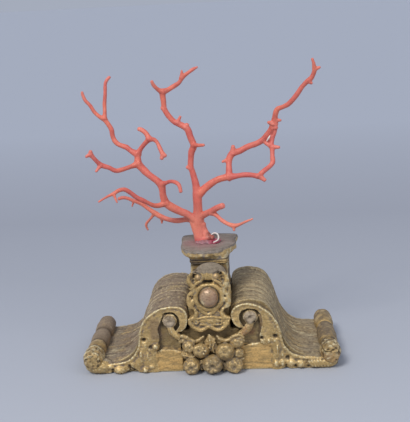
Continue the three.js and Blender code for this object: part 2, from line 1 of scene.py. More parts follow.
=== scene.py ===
"""A branch of red coral set in wax on a small carved and gilded stand.

Lengths are millimetres until a mesh is made. Left, right and front are as the stand's front is seen:
the front faces -Y, right is +X, and z = 0 is the surface that the stand rests on.
"""
import math
import bmesh
import bpy
import numpy as np
from mathutils import Matrix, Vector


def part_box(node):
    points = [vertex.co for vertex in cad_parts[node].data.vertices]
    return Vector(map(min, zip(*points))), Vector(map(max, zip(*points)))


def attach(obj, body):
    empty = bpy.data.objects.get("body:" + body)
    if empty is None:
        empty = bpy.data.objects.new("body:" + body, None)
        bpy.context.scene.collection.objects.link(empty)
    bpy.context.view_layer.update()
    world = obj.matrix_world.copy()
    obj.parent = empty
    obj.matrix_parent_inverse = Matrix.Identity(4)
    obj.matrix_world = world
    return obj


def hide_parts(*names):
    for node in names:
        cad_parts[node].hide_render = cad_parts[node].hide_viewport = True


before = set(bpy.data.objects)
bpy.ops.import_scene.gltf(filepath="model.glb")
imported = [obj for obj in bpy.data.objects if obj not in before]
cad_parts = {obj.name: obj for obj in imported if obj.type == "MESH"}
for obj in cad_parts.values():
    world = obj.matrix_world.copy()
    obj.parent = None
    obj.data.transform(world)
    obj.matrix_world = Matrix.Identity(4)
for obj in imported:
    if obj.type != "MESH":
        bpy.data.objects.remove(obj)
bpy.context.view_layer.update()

MM = 0.001

# Driving sizes of the stand
HALF_DEPTH = 52
FRONT = -52
DEEP = -43.5
SUNK = -46.2
BLOCK_FRONT = -44
FRONT_FALL = 0.05
CENTRE_HALF_WIDTH = 29.7
FOOT_TOP = 42.5
WAIST_HALF_WIDTH = 20.7
WAIST_TOP = 69
NECK_LEFT = -17
NECK_RIGHT = 20.5
NECK_FRONT = -30
NECK_BACK = 23
DIE_TOP = 97
CAP_BOTTOM = 107.5
CAP_TOP = 122
ROLL_X = 119.5
ROLL_Z = 15.5
ROLL_RADIUS = 10
ROLL_FRONT = -56

# How finely each carved piece is skinned
CORAL_GRAIN = 0.62
SCROLL_GRAIN = 0.72
BUNCH_GRAIN = 0.5
SHIELD_GRAIN = 0.45
BLOCK_GRAIN = 1.0

# Coral centrelines: each station is [x, y, z, radius]
TRUNK = [
    [-6.2, 1, 122.4, 7.2], [-7.4, 1.5, 127, 6.6], [-8.2, 2, 133, 6.3], [-8.7, 2, 145, 5.9],
    [-8.7, 2, 154.5, 5], [-8.7, 2, 166, 4.7], [-8.7, 2, 173, 4.7],
]
TRUNK_WEB = [
    [-16, 3, 148.5, 2.6], [-13.2, 2.4, 142, 4.2], [-10.8, 2, 135, 5], [-8, 1.6, 127, 5.6],
    [-5.6, 1.4, 122.6, 6.2],
]
FOOT_WEB = [[-5.6, 1.4, 139, 3], [-3.6, 0.6, 133, 3.8], [-1, -1.4, 128.4, 4.2], [1, -2.4, 125, 4.2]]
FOOT_KNOB = [[-7, 1, 125, 5], [-2, -2, 125.5, 4.6], [3, -4, 126, 3.8], [5.5, -5, 127, 3]]
MIDDLE = [
    [-8.7, 2, 172.8, 4.3], [-9.7, 3, 181.3, 3.6], [-11.7, 4, 191.8, 3.2], [-13.7, 5, 199.8, 3.2],
    [-13.2, 6, 208.3, 3], [-12.2, 6, 214.3, 3.3], [-9.7, 6, 220.8, 3.5], [-12.7, 7, 229.3, 3.3],
    [-15.2, 8, 236.8, 3.3], [-20.2, 9, 240.8, 3.2], [-28.2, 10, 244.8, 2.9], [-33.7, 11, 250.8, 2.9],
    [-37.2, 12, 256.8, 3], [-38.2, 13, 262.3, 2.8], [-38.7, 14, 269.3, 2.9], [-38.7, 14, 274.8, 3],
]
MIDDLE_SPURS = [
    [[-13, 5, 197.5, 2.6], [-18.5, 5, 199, 1.4]],
    [[-9.5, 5, 221, 2.3], [-4, -3, 222, 1.8], [1.5, -9, 223, 1.5]],
    [[-17, 8, 239, 2.4], [-15, 7, 242.5, 1.9]],
    [[-25, 9, 244, 2.2], [-21.5, 8, 250.5, 1.2]],
    [[-37.5, 12.5, 259, 2.2], [-41, 12, 258.5, 1.5]],
    [[-38.5, 14, 275, 2.5], [-42.5, 12, 277.5, 2.1], [-46.5, 9, 282, 1.9], [-48.5, 7, 287, 1.7]],
    [
        [-38.5, 14, 275, 2.5], [-33.5, 15, 276.5, 2.3], [-28, 17, 279.5, 2.3], [-22, 18, 283, 2.3],
        [-18, 19, 288.5, 2.1], [-11.5, 20, 293, 1.9], [-6.5, 21, 296, 1.8], [-2.5, 22, 297.5, 1],
    ],
    [[-19, 19, 287.5, 1.9], [-18.5, 18, 295.5, 1.1]],
]
RIGHT = [
    [-7, 2, 170.3, 4.3], [-0.5, 1, 176.8, 3.9], [6, 0, 181.8, 3.7], [13, -1, 185.8, 3.5],
    [19.5, -2, 187.8, 3.3], [25, -2, 188.3, 3.3],
]
RIGHT_LOW = [
    [25, -2, 188.6, 3.1], [32, -5, 189.6, 2.8], [40.5, -8, 191.1, 2.7], [49, -9, 190.6, 2.7],
    [54.5, -9, 189.6, 2.9], [59, -8, 193.6, 2.4], [66, -4, 198.1, 2.4], [69, -2, 201.6, 2.5],
    [69, 0, 207.6, 2.4], [69, 3, 213.6, 2.4], [68, 5, 216.6, 2.4], [62.5, 8, 220.1, 2],
]
RIGHT_LOW_SPURS = [
    [[54.5, -9, 190, 2.6], [61, -11, 185, 1.8]],
    [[69, 4, 216, 1.9], [76.5, 1, 216, 1.6]],
    [[68, 5, 217, 1.8], [70, 7, 224, 1.8], [72.3, 6, 230, 1.9], [73.3, 5, 234.5, 1.9]],
]
RIGHT_UP = [
    [25, -2, 188.9, 3.1], [25, 0, 195.4, 3.1], [25, 3, 201.4, 3.1], [26, 5, 206.9, 3.6],
    [29.5, 6, 210.9, 3.6], [36.5, 7, 212.9, 3.2], [45, 8, 216.9, 3.1], [53.5, 9, 219.4, 3],
    [60, 9, 222.9, 3.2], [65.5, 8, 228.4, 3.3], [69.5, 7, 234.4, 3.2], [71.5, 6, 239.4, 3.2],
]
RIGHT_UP_SPURS = [
    [[26, 5, 205.5, 2.6], [18, 4, 203, 1.3]],
    [[29.5, 6, 211, 2.8], [30, 5, 219, 1.8]],
    [[70, 7, 235.5, 2.4], [74.5, 3, 235.5, 1.8]],
    [[71, 6, 239, 2.2], [65.5, 3, 241.5, 1.4]],
]
RIGHT_TIP = [
    [71.8, 6, 239.2, 3], [72.8, 5, 245.2, 2.7], [73.8, 4, 250.2, 2.7], [75.8, 3, 254.2, 2.6],
    [80.8, 1, 256.2, 2.4], [85.8, -1, 258.7, 2.4], [90.8, -3, 263.7, 2.5], [95.3, -4, 269.2, 2.5],
    [99.8, -5, 275.7, 2.4], [104.8, -6, 280.7, 2.5], [109.3, -7, 284.7, 2.4], [111.8, -8, 290.7, 2.3],
    [111.3, -10, 297.7, 1.9], [109.8, -11, 303.2, 1.5],
]
RIGHT_TIP_SPURS = [
    [[72, 6, 243, 2.3], [79, 4, 242.5, 1.3]],
    [[106, -6, 282, 2], [109.5, -7, 278.5, 1.4]],
    [[111.5, -8, 292, 1.8], [117.5, -9, 294.5, 1.1]],
]
STUB = [
    [-6, 1, 148, 4.2], [-2, -2, 150.5, 3.5], [5.5, -10, 155.5, 3.1], [12, -17, 160.5, 3.1],
    [18, -23, 164, 2.9],
]
TWIG = [
    [6, -10, 154.5, 2.6], [10.5, -13, 152, 2], [15.5, -17, 148, 2.1], [21.5, -21, 145, 2.1],
    [28, -25, 143.5, 2.3], [34, -28, 145.5, 1.6], [40.5, -31, 149, 1.3], [47, -33, 152, 1],
]
TWIG_SPUR = [[28, -25, 144, 1.8], [28, -26, 138.5, 1.3]]
LEFT = [
    [-9.4, 2, 141.4, 4.4], [-12.9, 1, 145.4, 4.3], [-18.9, 0, 150.4, 4], [-25.9, -2, 154.4, 3.9],
    [-33.9, -4, 159.4, 4.1], [-39.9, -5, 164.4, 4.1], [-42.4, -6, 171.9, 3.6], [-42.9, -6, 178.4, 3.6],
    [-43.9, -6, 183.9, 3.8], [-47.9, -6, 188.4, 3.7], [-54.4, -5, 193.4, 3.7], [-60.4, -3, 198.9, 3.7],
    [-65.9, -2, 205.4, 3.9], [-66.4, -1, 211.4, 3.2], [-66.4, 0, 214.9, 3],
]
CURL = [
    [-43.5, -6, 184.3, 2.7], [-37.5, -12, 187.3, 2.1], [-33, -17, 189.3, 1.9],
    [-28, -22, 189.3, 2], [-24, -26, 186.8, 2], [-22.5, -28, 180.3, 1.9],
]
OUTER = [
    [-65.5, -2, 205.6, 3.1], [-73.5, -5, 203.6, 2.5], [-81.5, -8, 201.6, 2.4], [-88, -11, 201.1, 2.4],
    [-94, -12, 204.6, 2.4], [-102, -13, 208.1, 2.6], [-107, -16, 214.1, 2.2], [-110.5, -17, 219.6, 2.4],
    [-110.5, -18, 223.6, 1.6],
]
OUTER_SPURS = [
    [[-102, -13, 208.5, 2], [-107, -17, 202, 1.3]],
    [[-110.5, -17, 220, 1.8], [-115.5, -20, 218, 1.4]],
]
HIGH = [
    [-66.4, 0, 215.2, 2.9], [-71.9, 2, 217.7, 2.6], [-77.4, 4, 221.7, 2.6], [-85.4, 6, 224.7, 2.5],
    [-89.9, 8, 228.7, 2.6], [-91.9, 9, 234.7, 2.4], [-92.4, 9, 239.7, 2.5], [-95.9, 10, 246.2, 2.4],
    [-99.4, 11, 250.2, 2.5], [-104.4, 11, 253.7, 2.2], [-108.9, 12, 258.2, 2.1], [-112.9, 13, 264.7, 2],
    [-117.4, 14, 269.7, 1.9], [-119.9, 15, 275.2, 1.8], [-120.4, 15, 278.7, 1.4],
]
HIGH_FORK = [
    [-99, 11, 250.5, 2.2], [-98.5, 13, 256.5, 1.9], [-98.5, 16, 266, 2], [-97.5, 18, 275.5, 2],
    [-97, 20, 285, 1.9], [-95, 21, 289, 1.9], [-92, 22, 292, 1.6],
]
HOOKED = [
    [-66, 0, 215.5, 2.6], [-62.5, -2, 221, 2.5], [-58.5, -4, 225.5, 2.5], [-53, -6, 231, 2.6],
]
HOOKED_FORKS = [
    [[-53, -6, 231, 2.5], [-56, -4, 236.5, 2.3], [-60.5, -2, 240, 2.4], [-64, -1, 241, 2]],
    [
        [-53, -6, 231, 2.2], [-47.5, -12, 231, 2], [-44, -16, 228.5, 2], [-41, -20, 222.5, 2],
        [-39, -23, 218, 2.1], [-40, -25, 213.5, 1.7],
    ],
    [[-39, -23, 218, 2], [-35.5, -25, 216.5, 1.6]],
]
LOW_FRONT = [
    [-39.5, -5, 164.8, 3.1], [-47.5, -9, 163.3, 2.5], [-53.5, -12, 164.8, 2.4], [-60, -15, 169.3, 2.4],
    [-67.5, -18, 174.3, 2.4], [-74, -21, 180.8, 2.3], [-79, -23, 184.3, 2.1], [-84.5, -25, 183.8, 2.1],
    [-89.5, -27, 181.3, 2], [-96, -29, 178.8, 1.4], [-104.5, -31, 174.3, 1.1],
]
LOW_FRONT_SPUR = [[-89.5, -27, 181.5, 1.5], [-86, -30, 172.5, 0.9]]
LOW_BACK = [
    [-12.7, 4, 142.8, 3.2], [-21.2, 8, 143.3, 2.7], [-31.7, 11, 141.8, 2.7], [-40.2, 13, 142.8, 2.7],
    [-47.7, 15, 145.3, 2.7], [-54.2, 16, 149.3, 2.7], [-61.2, 17, 154.3, 2.2], [-68.7, 18, 159.8, 2.2],
    [-76.2, 19, 162.8, 2], [-83.7, 20, 165.8, 1.9], [-88.7, 20, 166.3, 1.9], [-92.7, 20, 164.8, 1.5],
]
LOW_BACK_SPURS = [
    [[-54, 16, 150, 1.8], [-59.5, 18, 143.5, 1.3], [-65, 20, 136.5, 1.5], [-63.5, 21, 130, 1.2]],
    [[-47.5, 15, 144.5, 1.6], [-48, 16, 138, 1]],
    [[-76, 19, 163.5, 1.4], [-78.5, 20, 156.5, 0.9]],
]
SLOT_WEB = [[64, 8, 219.6, 1.8], [66.6, 8, 223.6, 2.2], [69.4, 7.4, 227.6, 2]]
CORAL_LIMBS = [
    TRUNK, TRUNK_WEB, FOOT_WEB, FOOT_KNOB, MIDDLE, *MIDDLE_SPURS, RIGHT, RIGHT_LOW,
    *RIGHT_LOW_SPURS, SLOT_WEB, RIGHT_UP, *RIGHT_UP_SPURS, RIGHT_TIP, *RIGHT_TIP_SPURS, STUB, TWIG,
    TWIG_SPUR, LEFT, CURL, OUTER, *OUTER_SPURS, HIGH, HIGH_FORK, HOOKED, *HOOKED_FORKS, LOW_FRONT,
    LOW_FRONT_SPUR, LOW_BACK, *LOW_BACK_SPURS,
]
# How finely the centrelines are followed, how much wider a thin limb is at its root, and how soon
# that is gone
LIMB_STEP = 1.2
ROOT_FLARE = 0.6
ROOT_REACH = 3.1
# Limbs that run on into another one instead of ending in a tip, and the distance kept for no tip
CARRIED_ON = [TRUNK, TRUNK_WEB, FOOT_WEB, MIDDLE, RIGHT, RIGHT_UP, LEFT, HOOKED]
NO_TIP = 99.0

# The scrolls' profiles at the back, from the cradle of the end roll over the shoulder to the curl
LEFT_PROFILE = [
    [-30, 0], [-122, 0], [-126.5, 2.5], [-128, 8], [-119.5, 12], [-107, 12], [-97, 13], [-87, 16],
    [-79, 22], [-74, 30], [-70.5, 41], [-67, 52], [-62, 61.5], [-54, 68.5], [-43.5, 72.5],
    [-33, 73], [-26, 71], [-22, 65.5], [-21.2, 58], [-23, 50.5], [-27, 45.5], [-30, 43],
]
RIGHT_PROFILE = [
    [30, 0], [122, 0], [126.5, 2.5], [128, 8], [119.5, 12], [108, 13.5], [98, 14], [88, 16.5],
    [80, 23], [74.5, 31.5], [70, 43], [66, 55], [62, 65], [56, 72.5], [48.5, 76], [39, 77],
    [29, 75.3], [23, 70.5], [21.2, 62], [22.5, 54], [27, 48], [30, 45],
]

# Each scroll's raised front: the toe, the broad band and its curl, round the sunk ground
LEFT_RIM = [
    [-116, 0.3], [-121.5, 1.2], [-125, 4], [-125.5, 8], [-119.5, 11.2], [-107, 11.2], [-97, 11.6],
    [-86, 13.2], [-77, 19], [-71.5, 28], [-69.5, 38], [-68.5, 46], [-66, 53], [-61, 59.5],
    [-55, 64.5], [-48, 68], [-40, 69.6], [-31, 69.4], [-24.8, 66.8], [-21.9, 61], [-21.8, 54],
    [-24, 47.5], [-29, 42.8], [-33.5, 43.5], [-30.5, 48], [-29.5, 54], [-31.5, 60], [-36, 63.8],
    [-44, 63.4], [-49.2, 57.5], [-51.5, 47], [-51, 35], [-54, 27], [-53, 12], [-53, 0.3],
    [-72, 0.3], [-75, 2.5], [-79, 5], [-84, 4], [-87, 0.3], [-97, 0.3], [-100, 3], [-103, 0.3],
]
RIGHT_RIM = [
    [117, 0.3], [122, 1.4], [125.5, 4.5], [126, 8], [119.5, 11.2], [108, 12.4], [98, 13.2], [88, 14],
    [79, 18], [73, 24.5], [70, 33], [68.5, 42], [66, 50], [62, 57.5], [57.7, 62.2],
    [52.6, 66], [46.6, 69], [39.9, 70.8], [33.9, 70.6], [27.8, 68.8], [23.7, 65.4], [21.9, 61],
    [22.2, 55.4], [24.7, 49.6], [29.1, 45.4], [33.7, 46.1], [31.5, 49.4], [29.8, 54.3],
    [30, 59.1], [32.4, 63], [36.7, 64.9], [41.2, 65.1], [45.7, 64.2], [49.4, 61.7], [51.5, 57.6],
    [52.5, 50], [51, 42], [49, 34], [52, 26], [61, 23], [61, 0.3], [72, 0.3], [75, 3], [78, 0.3],
    [86, 0.3], [89, 2.5], [92, 0.3], [102, 0.3], [104.5, 3], [107, 0.3],
]
LEFT_PANEL = [[-57, 0], [-28, 0], [-28, 21], [-36, 23.5], [-44, 24], [-50, 24], [-57, 20]]
RIGHT_PANEL = [
    [28, 0], [61, 0], [61, 24], [56, 27], [49, 28.5], [42, 28.5], [35, 26], [28, 26],
]

# Where the panels are painted: [left, right, bottom, top]
LEFT_PANEL_PAINT = [-54, -26, 2.5, 23]
RIGHT_PANEL_PAINT = [30, 60.5, 2, 27]
# Holes in the scrolls' carving: [x, z, radius, depth]
LEFT_PITS = [
    [-66.5, 35.4, 2, 4], [-60.4, 27.5, 2, 2], [-82.5, 7.5, 2.4, 3], [-99.8, 4.5, 2, 2.2],
    [-39.6, 54, 1.6, 1.2], [-79.5, 3.5, 2.6, 2.6],
]
RIGHT_PITS = [
    [51.5, 34.2, 1.8, 3.2], [64.7, 35.6, 2, 3.8], [76.2, 12.7, 1.8, 3], [44.6, 51.4, 1.1, 2.6],
    [84.5, 3.5, 2.2, 2.2], [97.5, 2.8, 2.2, 2.2], [74.6, 4, 1.8, 2], [40, 56.6, 2.2, 1.2],
]
# The middle of the ball in each scroll's eye: (x, z)
LEFT_EYE = (-39.8, 54.6)
RIGHT_EYE = (40.5, 56.4)
# How far apart the broad grooves of the shoulders are
LEFT_RIDGE = 17
RIGHT_RIDGE = 12.5


# Numbers by place

def smoothstep(low, high, value):
    """0 below low, 1 above high, and 3t2 - 2t3 between them."""
    t = np.clip((value - low) / (high - low), 0, 1)
    return t * t * (3 - 2 * t)


# Large odd numbers that send neighbouring cells far apart, and the largest number kept
CELL_STEPS = (374761393, 668265263, 1274126177)
SEED_STEP = 144665
STIR_STEP = 1103515245
LARGEST = 0xFFFFFFFF


def lattice(cells, seed):
    """A number from 0 to 1 for each whole-numbered cell: the sum of its coordinates, each times a
    large number, stirred by shifting and multiplying it."""
    x, y, z = (cells[:, axis] & LARGEST for axis in range(3))
    stirred = (x * CELL_STEPS[0] + y * CELL_STEPS[1] + z * CELL_STEPS[2] + seed * SEED_STEP) & LARGEST
    stirred = ((stirred ^ (stirred >> 13)) * STIR_STEP) & LARGEST
    return (stirred ^ (stirred >> 16)) / LARGEST


def waves(points, size, seed=0):
    """Smooth random waves from -1 to 1: a lattice's numbers, blended by 3t2 - 2t3 across each cell."""
    place = np.asarray(points, float) / size
    base = np.floor(place)
    part = place - base
    part = part * part * (3 - 2 * part)
    cell = base.astype(np.int64)
    total = np.zeros(len(place))
    for step in np.ndindex(2, 2, 2):
        corner = np.array(step)
        weight = np.prod(np.where(corner == 1, part, 1 - part), axis=1)
        total += weight * lattice(cell + corner, seed)
    return 2 * total - 1


def rough(points, size, seed=0):
    """Waves with half as big and a quarter as big ones on them."""
    fine = 0.5 * waves(points, size / 2.1, seed + 1) + 0.25 * waves(points, size / 4.3, seed + 2)
    return (waves(points, size, seed) + fine) / 1.75


# Curves

def through(stations, step, closed=False):
    """A smooth curve through the stations (a cubic between each two, aimed along their neighbours),
    in points about a step apart."""
    place = np.asarray(stations, float)
    if closed:
        padded = np.vstack([place[-1], place, place[:2]])
    else:
        padded = np.vstack([2 * place[0] - place[1], place, 2 * place[-1] - place[-2]])
    runs = []
    for a, b, c, d in zip(padded[:-3], padded[1:-2], padded[2:-1], padded[3:]):
        count = max(1, math.ceil(np.linalg.norm((c - b)[:3]) / step))
        t = (np.arange(count) / count)[:, None]
        bend = (2 * a - 5 * b + 4 * c - d) * t**2 + (3 * b - a - 3 * c + d) * t**3
        runs.append(0.5 * (2 * b + (c - a) * t + bend))
    if not closed:
        runs.append(place[-1:])
    return np.vstack(runs)


def directions(path, closed=False):
    """Unit vectors along a path."""
    if closed:
        ahead = np.roll(path, -1, axis=0) - np.roll(path, 1, axis=0)
    else:
        ahead = np.gradient(path, axis=0)
    return ahead / np.maximum(np.linalg.norm(ahead, axis=1, keepdims=True), 1e-9)


def side_vectors(along):
    """Unit vectors square to a path that turn as little as they can from one station to the next."""
    side = np.array((0.0, 1.0, 0.0))
    if abs(side @ along[0]) > 0.9:
        side = np.array((1.0, 0.2, 0))
    found = []
    for ahead in along:
        side = side - (side @ ahead) * ahead
        side = side / np.linalg.norm(side)
        found.append(side)
    return np.array(found)


# Closed shapes: (points, faces)

# A small hole is left at each pole of a ball, in radians, and closed by a flat face
POLE_GAP = 0.02
# How finely a fruit is followed: circles from pole to pole, and points round it
FRUIT_RINGS = 40
FRUIT_SIDES = 60


def skin(rings):
    """A closed shape over rings of points, an array of (ring, point, xyz): four-sided faces between
    neighbouring rings and one flat face over each end."""
    count, sides = rings.shape[:2]
    here = np.arange(count * sides).reshape(count, sides)
    beside = np.roll(here, -1, axis=1)
    walls = np.stack([here[:-1], beside[:-1], beside[1:], here[1:]], axis=-1).reshape(-1, 4)
    faces = walls.tolist() + [here[0, ::-1].tolist(), here[-1].tolist()]
    return rings.reshape(-1, 3), faces


def tube(stations, step=0.8, sides=18, flat=1.0, blunt=1.0):
    """A circle carried along a smooth curve through [x, y, z, radius] stations. It is pressed to flat
    times its depth in Y, and its ends are rounded: the radius falls by the cosine while the centre
    goes on by the sine."""
    path = through(stations, step)
    quarter = np.linspace(0, math.pi / 2 - 0.08, 6)[1:]
    along = directions(path[:, :3])
    ends = []
    for end, ahead in ((path[0], -along[0]), (path[-1], along[-1])):
        middle = end[:3] + np.outer(np.sin(quarter) * end[3] * blunt, ahead)
        ends.append(np.column_stack([middle, end[3] * np.cos(quarter)]))
    path = np.vstack([ends[0][::-1], path, ends[1]])
    along = directions(path[:, :3])
    side = side_vectors(along)
    across = np.cross(along, side)
    turn = np.linspace(0, 2 * math.pi, sides, endpoint=False)
    circle = side[:, None] * np.cos(turn)[:, None] + across[:, None] * np.sin(turn)[:, None]
    circle = circle * path[:, 3][:, None, None]
    circle[..., 1] *= flat
    return skin(path[:, None, :3] + circle)


def ball(middle, radii, rows=22, sides=36):
    """An ellipsoid: circles whose radius is the sine of the angle from its front pole."""
    angle = np.linspace(POLE_GAP, math.pi - POLE_GAP, rows)
    turn = np.linspace(0, 2 * math.pi, sides, endpoint=False)
    x = np.sin(angle)[:, None] * np.cos(turn)
    z = np.sin(angle)[:, None] * np.sin(turn)
    y = np.broadcast_to(-np.cos(angle)[:, None], x.shape)
    return skin(np.stack([x, y, z], axis=-1) * np.array(radii) + np.array(middle))


def fruit(middle, radii, lobes, dent, tilt=(0, 0)):
    """A ball whose radius drops at its front pole by dent, as the bell curve of the angle, stands up
    in a low rim round that eye, and rises and falls by the cosine of lobes turns on the shoulder
    beyond it; the pole is tilted by (x, z)."""
    angle = np.linspace(POLE_GAP, math.pi - POLE_GAP, FRUIT_RINGS)[:, None]
    turn = np.linspace(0, 2 * math.pi, FRUIT_SIDES, endpoint=False)[None]
    eye = np.exp(-(angle / 0.32) ** 2)
    rim = np.exp(-((angle - 0.62) / 0.2) ** 2)
    lobed = np.cos(lobes * turn) * np.exp(-((angle - 0.75) / 0.45) ** 2)
    reach = 1 - dent * eye + 0.05 * rim + 0.045 * lobed
    x = reach * np.sin(angle) * np.cos(turn)
    z = reach * np.sin(angle) * np.sin(turn)
    y = -reach * np.cos(angle) + 0 * turn
    x = x - tilt[0] * y
    z = z - tilt[1] * y
    return skin(np.stack([x, y, z], axis=-1) * np.array(radii) + np.array(middle))


def inset(outline, distance):
    """An X-Z outline drawn in by a distance, square to its own run."""
    ahead = directions(outline, closed=True)
    x, z = outline[:, 0], outline[:, 1]
    turning = np.sign(np.sum(x * np.roll(z, -1) - z * np.roll(x, -1)))
    inward = np.column_stack([-ahead[:, 1], ahead[:, 0]]) * turning
    return outline + inward * distance


def slab(outline, front, back, ease=1.0, step=1.0, curved=True):
    """An X-Z outline carried from front to back in Y, drawn in at the front edge by a quarter circle."""
    if curved:
        edge = through(outline, step, closed=True)
    else:
        edge = np.asarray(outline, float)
    rings = []
    for angle in np.linspace(0, math.pi / 2, 4):
        drawn = inset(edge, ease * (1 - math.sin(angle)))
        rings.append(np.insert(drawn, 1, front + ease * (1 - math.cos(angle)), axis=1))
    rings.append(np.insert(edge, 1, back, axis=1))
    return skin(np.array(rings))


def block(x0, x1, y0, y1, z0, z1):
    """A box, as an X-Z rectangle carried in Y."""
    corners = [[x0, z0], [x1, z0], [x1, z1], [x0, z1]]
    return slab(corners, y0, y1, ease=0.8, curved=False)


def coil(middle, y, start, turns, radius, thickness, grow=1.0):
    """A rod wound into a flat spiral: the radius from the centre shrinks evenly as it turns."""
    angle = np.linspace(0, turns * 2 * math.pi, max(8, int(turns * 22)))
    reach = radius * (1 - 0.8 * angle / angle[-1])
    at = start + angle * grow
    stations = np.column_stack([
        middle[0] + reach * np.cos(at), np.full(len(at), y), middle[1] + reach * np.sin(at),
        thickness * (1 - 0.3 * angle / angle[-1]),
    ])
    return tube(stations, step=0.6, sides=12)


def line(points, y, radius):
    """A raised carved line through X-Z points at one depth, thinner at its ends."""
    count = len(points)
    stations = [
        [x, y, z, radius * (0.65 if place in (0, count - 1) else 1.0)]
        for place, (x, z) in enumerate(points)
    ]
    return tube(stations, step=0.7, sides=12)


def ring(middle, half_width, half_height, y, radius):
    """A rod bent into an upright oval."""
    turn = np.linspace(0, 2 * math.pi, 60)
    stations = np.column_stack([
        middle[0] + half_width * np.cos(turn), np.full(len(turn), y),
        middle[1] + half_height * np.sin(turn), np.full(len(turn), radius),
    ])
    return tube(stations, step=2, sides=14)


def leaf(points, y, width, rise):
    """A pointed leaf along X-Z points, its half width following a sine, pressed flat, with a midrib."""
    count = len(points)
    share = np.sin(np.linspace(0.25, math.pi - 0.15, count))
    blade = [[x, y, z, width * part] for (x, z), part in zip(points, share)]
    rib = [[x, y - rise, z, 0.9 * part + 0.2] for (x, z), part in zip(points, share)]
    return [tube(blade, sides=20, flat=rise / width), tube(rib, sides=10)]


# Skins: many closed shapes grown into one

class Surface:
    """One closed surface: points, square faces, the edges between points and the outward normals."""

    def __init__(self, points, quads):
        self.points = points
        self.quads = quads
        count = len(points)
        pairs = np.vstack([quads[:, [a, (a + 1) % 4]] for a in range(4)])
        pairs.sort(axis=1)
        keys = np.unique(pairs[:, 0] * count + pairs[:, 1])
        self.edges = np.column_stack([keys // count, keys % count])
        self.degree = np.bincount(self.edges.ravel(), minlength=count)

    def relaxed(self, values, times):
        """Each value goes half of the way to the mean of its neighbours', that many times."""
        a, b = self.edges[:, 0], self.edges[:, 1]
        count = len(self.points)
        values = np.array(values, float)
        columns = values.reshape(count, -1)
        for _ in range(times):
            near = np.empty_like(columns)
            for axis in range(columns.shape[1]):
                column = columns[:, axis]
                near[:, axis] = np.bincount(a, column[b], count) + np.bincount(b, column[a], count)
            columns = columns + 0.5 * (near / self.degree[:, None] - columns)
        return columns.reshape(values.shape)

    def normals(self):
        """Each point's outward direction: the sum of its faces' cross products."""
        corner = self.points[self.quads]
        cross = np.cross(corner[:, 2] - corner[:, 0], corner[:, 3] - corner[:, 1])
        total = np.zeros_like(self.points)
        for place in range(4):
            for axis in range(3):
                total[:, axis] += np.bincount(self.quads[:, place], cross[:, axis], len(self.points))
        return total / np.maximum(np.linalg.norm(total, axis=1, keepdims=True), 1e-12)

    def stand_out(self, times):
        """How far each point stands out from the surface relaxed that many times: less than 0 in a
        hollow, more than 0 on an edge."""
        calm = self.relaxed(self.points, times)
        return np.sum((self.points - calm) * self.normals(), axis=1)


def grown_together(shapes, grain):
    """One surface over all the shapes, in squares of about that size."""
    mesh = bpy.data.meshes.new("rough")
    points = np.vstack([shape[0] for shape in shapes])
    faces = []
    shift = 0
    for place, own in shapes:
        faces += [[corner + shift for corner in face] for face in own]
        shift += len(place)
    mesh.from_pydata(points.tolist(), [], faces)
    rough_piece = bpy.data.objects.new("rough", mesh)
    bpy.context.scene.collection.objects.link(rough_piece)
    remesh = rough_piece.modifiers.new("grow", "REMESH")
    remesh.mode = "VOXEL"
    remesh.voxel_size = grain
    skinned = rough_piece.evaluated_get(bpy.context.evaluated_depsgraph_get())
    result = skinned.to_mesh()
    found = np.empty(len(result.vertices) * 3)
    result.vertices.foreach_get("co", found)
    corners = np.empty(len(result.loops), dtype=np.int64)
    result.loops.foreach_get("vertex_index", corners)
    skinned.to_mesh_clear()
    bpy.data.objects.remove(rough_piece)
    bpy.data.meshes.remove(mesh)
    return Surface(found.reshape(-1, 3), corners.reshape(-1, 4))


def give(mesh, name, values):
    """Keeps a number or a colour on each point of a mesh."""
    values = np.asarray(values, float)
    if values.ndim == 1:
        mesh.attributes.new(name, "FLOAT", "POINT").data.foreach_set("value", values)
    else:
        whole = np.column_stack([values, np.ones(len(values))])
        mesh.attributes.new(name, "FLOAT_COLOR", "POINT").data.foreach_set("color", whole.ravel())


def piece(name, points, faces, material, nodes, marks):
    """A finished piece that stands for the solids named in nodes, with its marks kept on its points."""
    mesh = bpy.data.meshes.new(name)
    mesh.from_pydata((points * MM).tolist(), [], faces if isinstance(faces, list) else faces.tolist())
    edit = bmesh.new()
    edit.from_mesh(mesh)
    bmesh.ops.recalc_face_normals(edit, faces=edit.faces)
    edit.to_mesh(mesh)
    edit.free()
    mesh.polygons.foreach_set("use_smooth", np.ones(len(mesh.polygons), dtype=bool))
    for mark, values in marks.items():
        give(mesh, mark, values)
    made = bpy.data.objects.new(name, mesh)
    made.data.materials.append(material)
    bpy.context.scene.collection.objects.link(made)
    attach(made, "root")
    if nodes:
        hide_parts(*nodes)


# Colours, in linear light

def paint(red, green, blue):
    """A colour as the eye's 0 to 255 scale gives it, in linear light."""
    share = np.array([red, green, blue]) / 255
    return np.where(share <= 0.04045, share / 12.92, ((share + 0.055) / 1.055) ** 2.4)


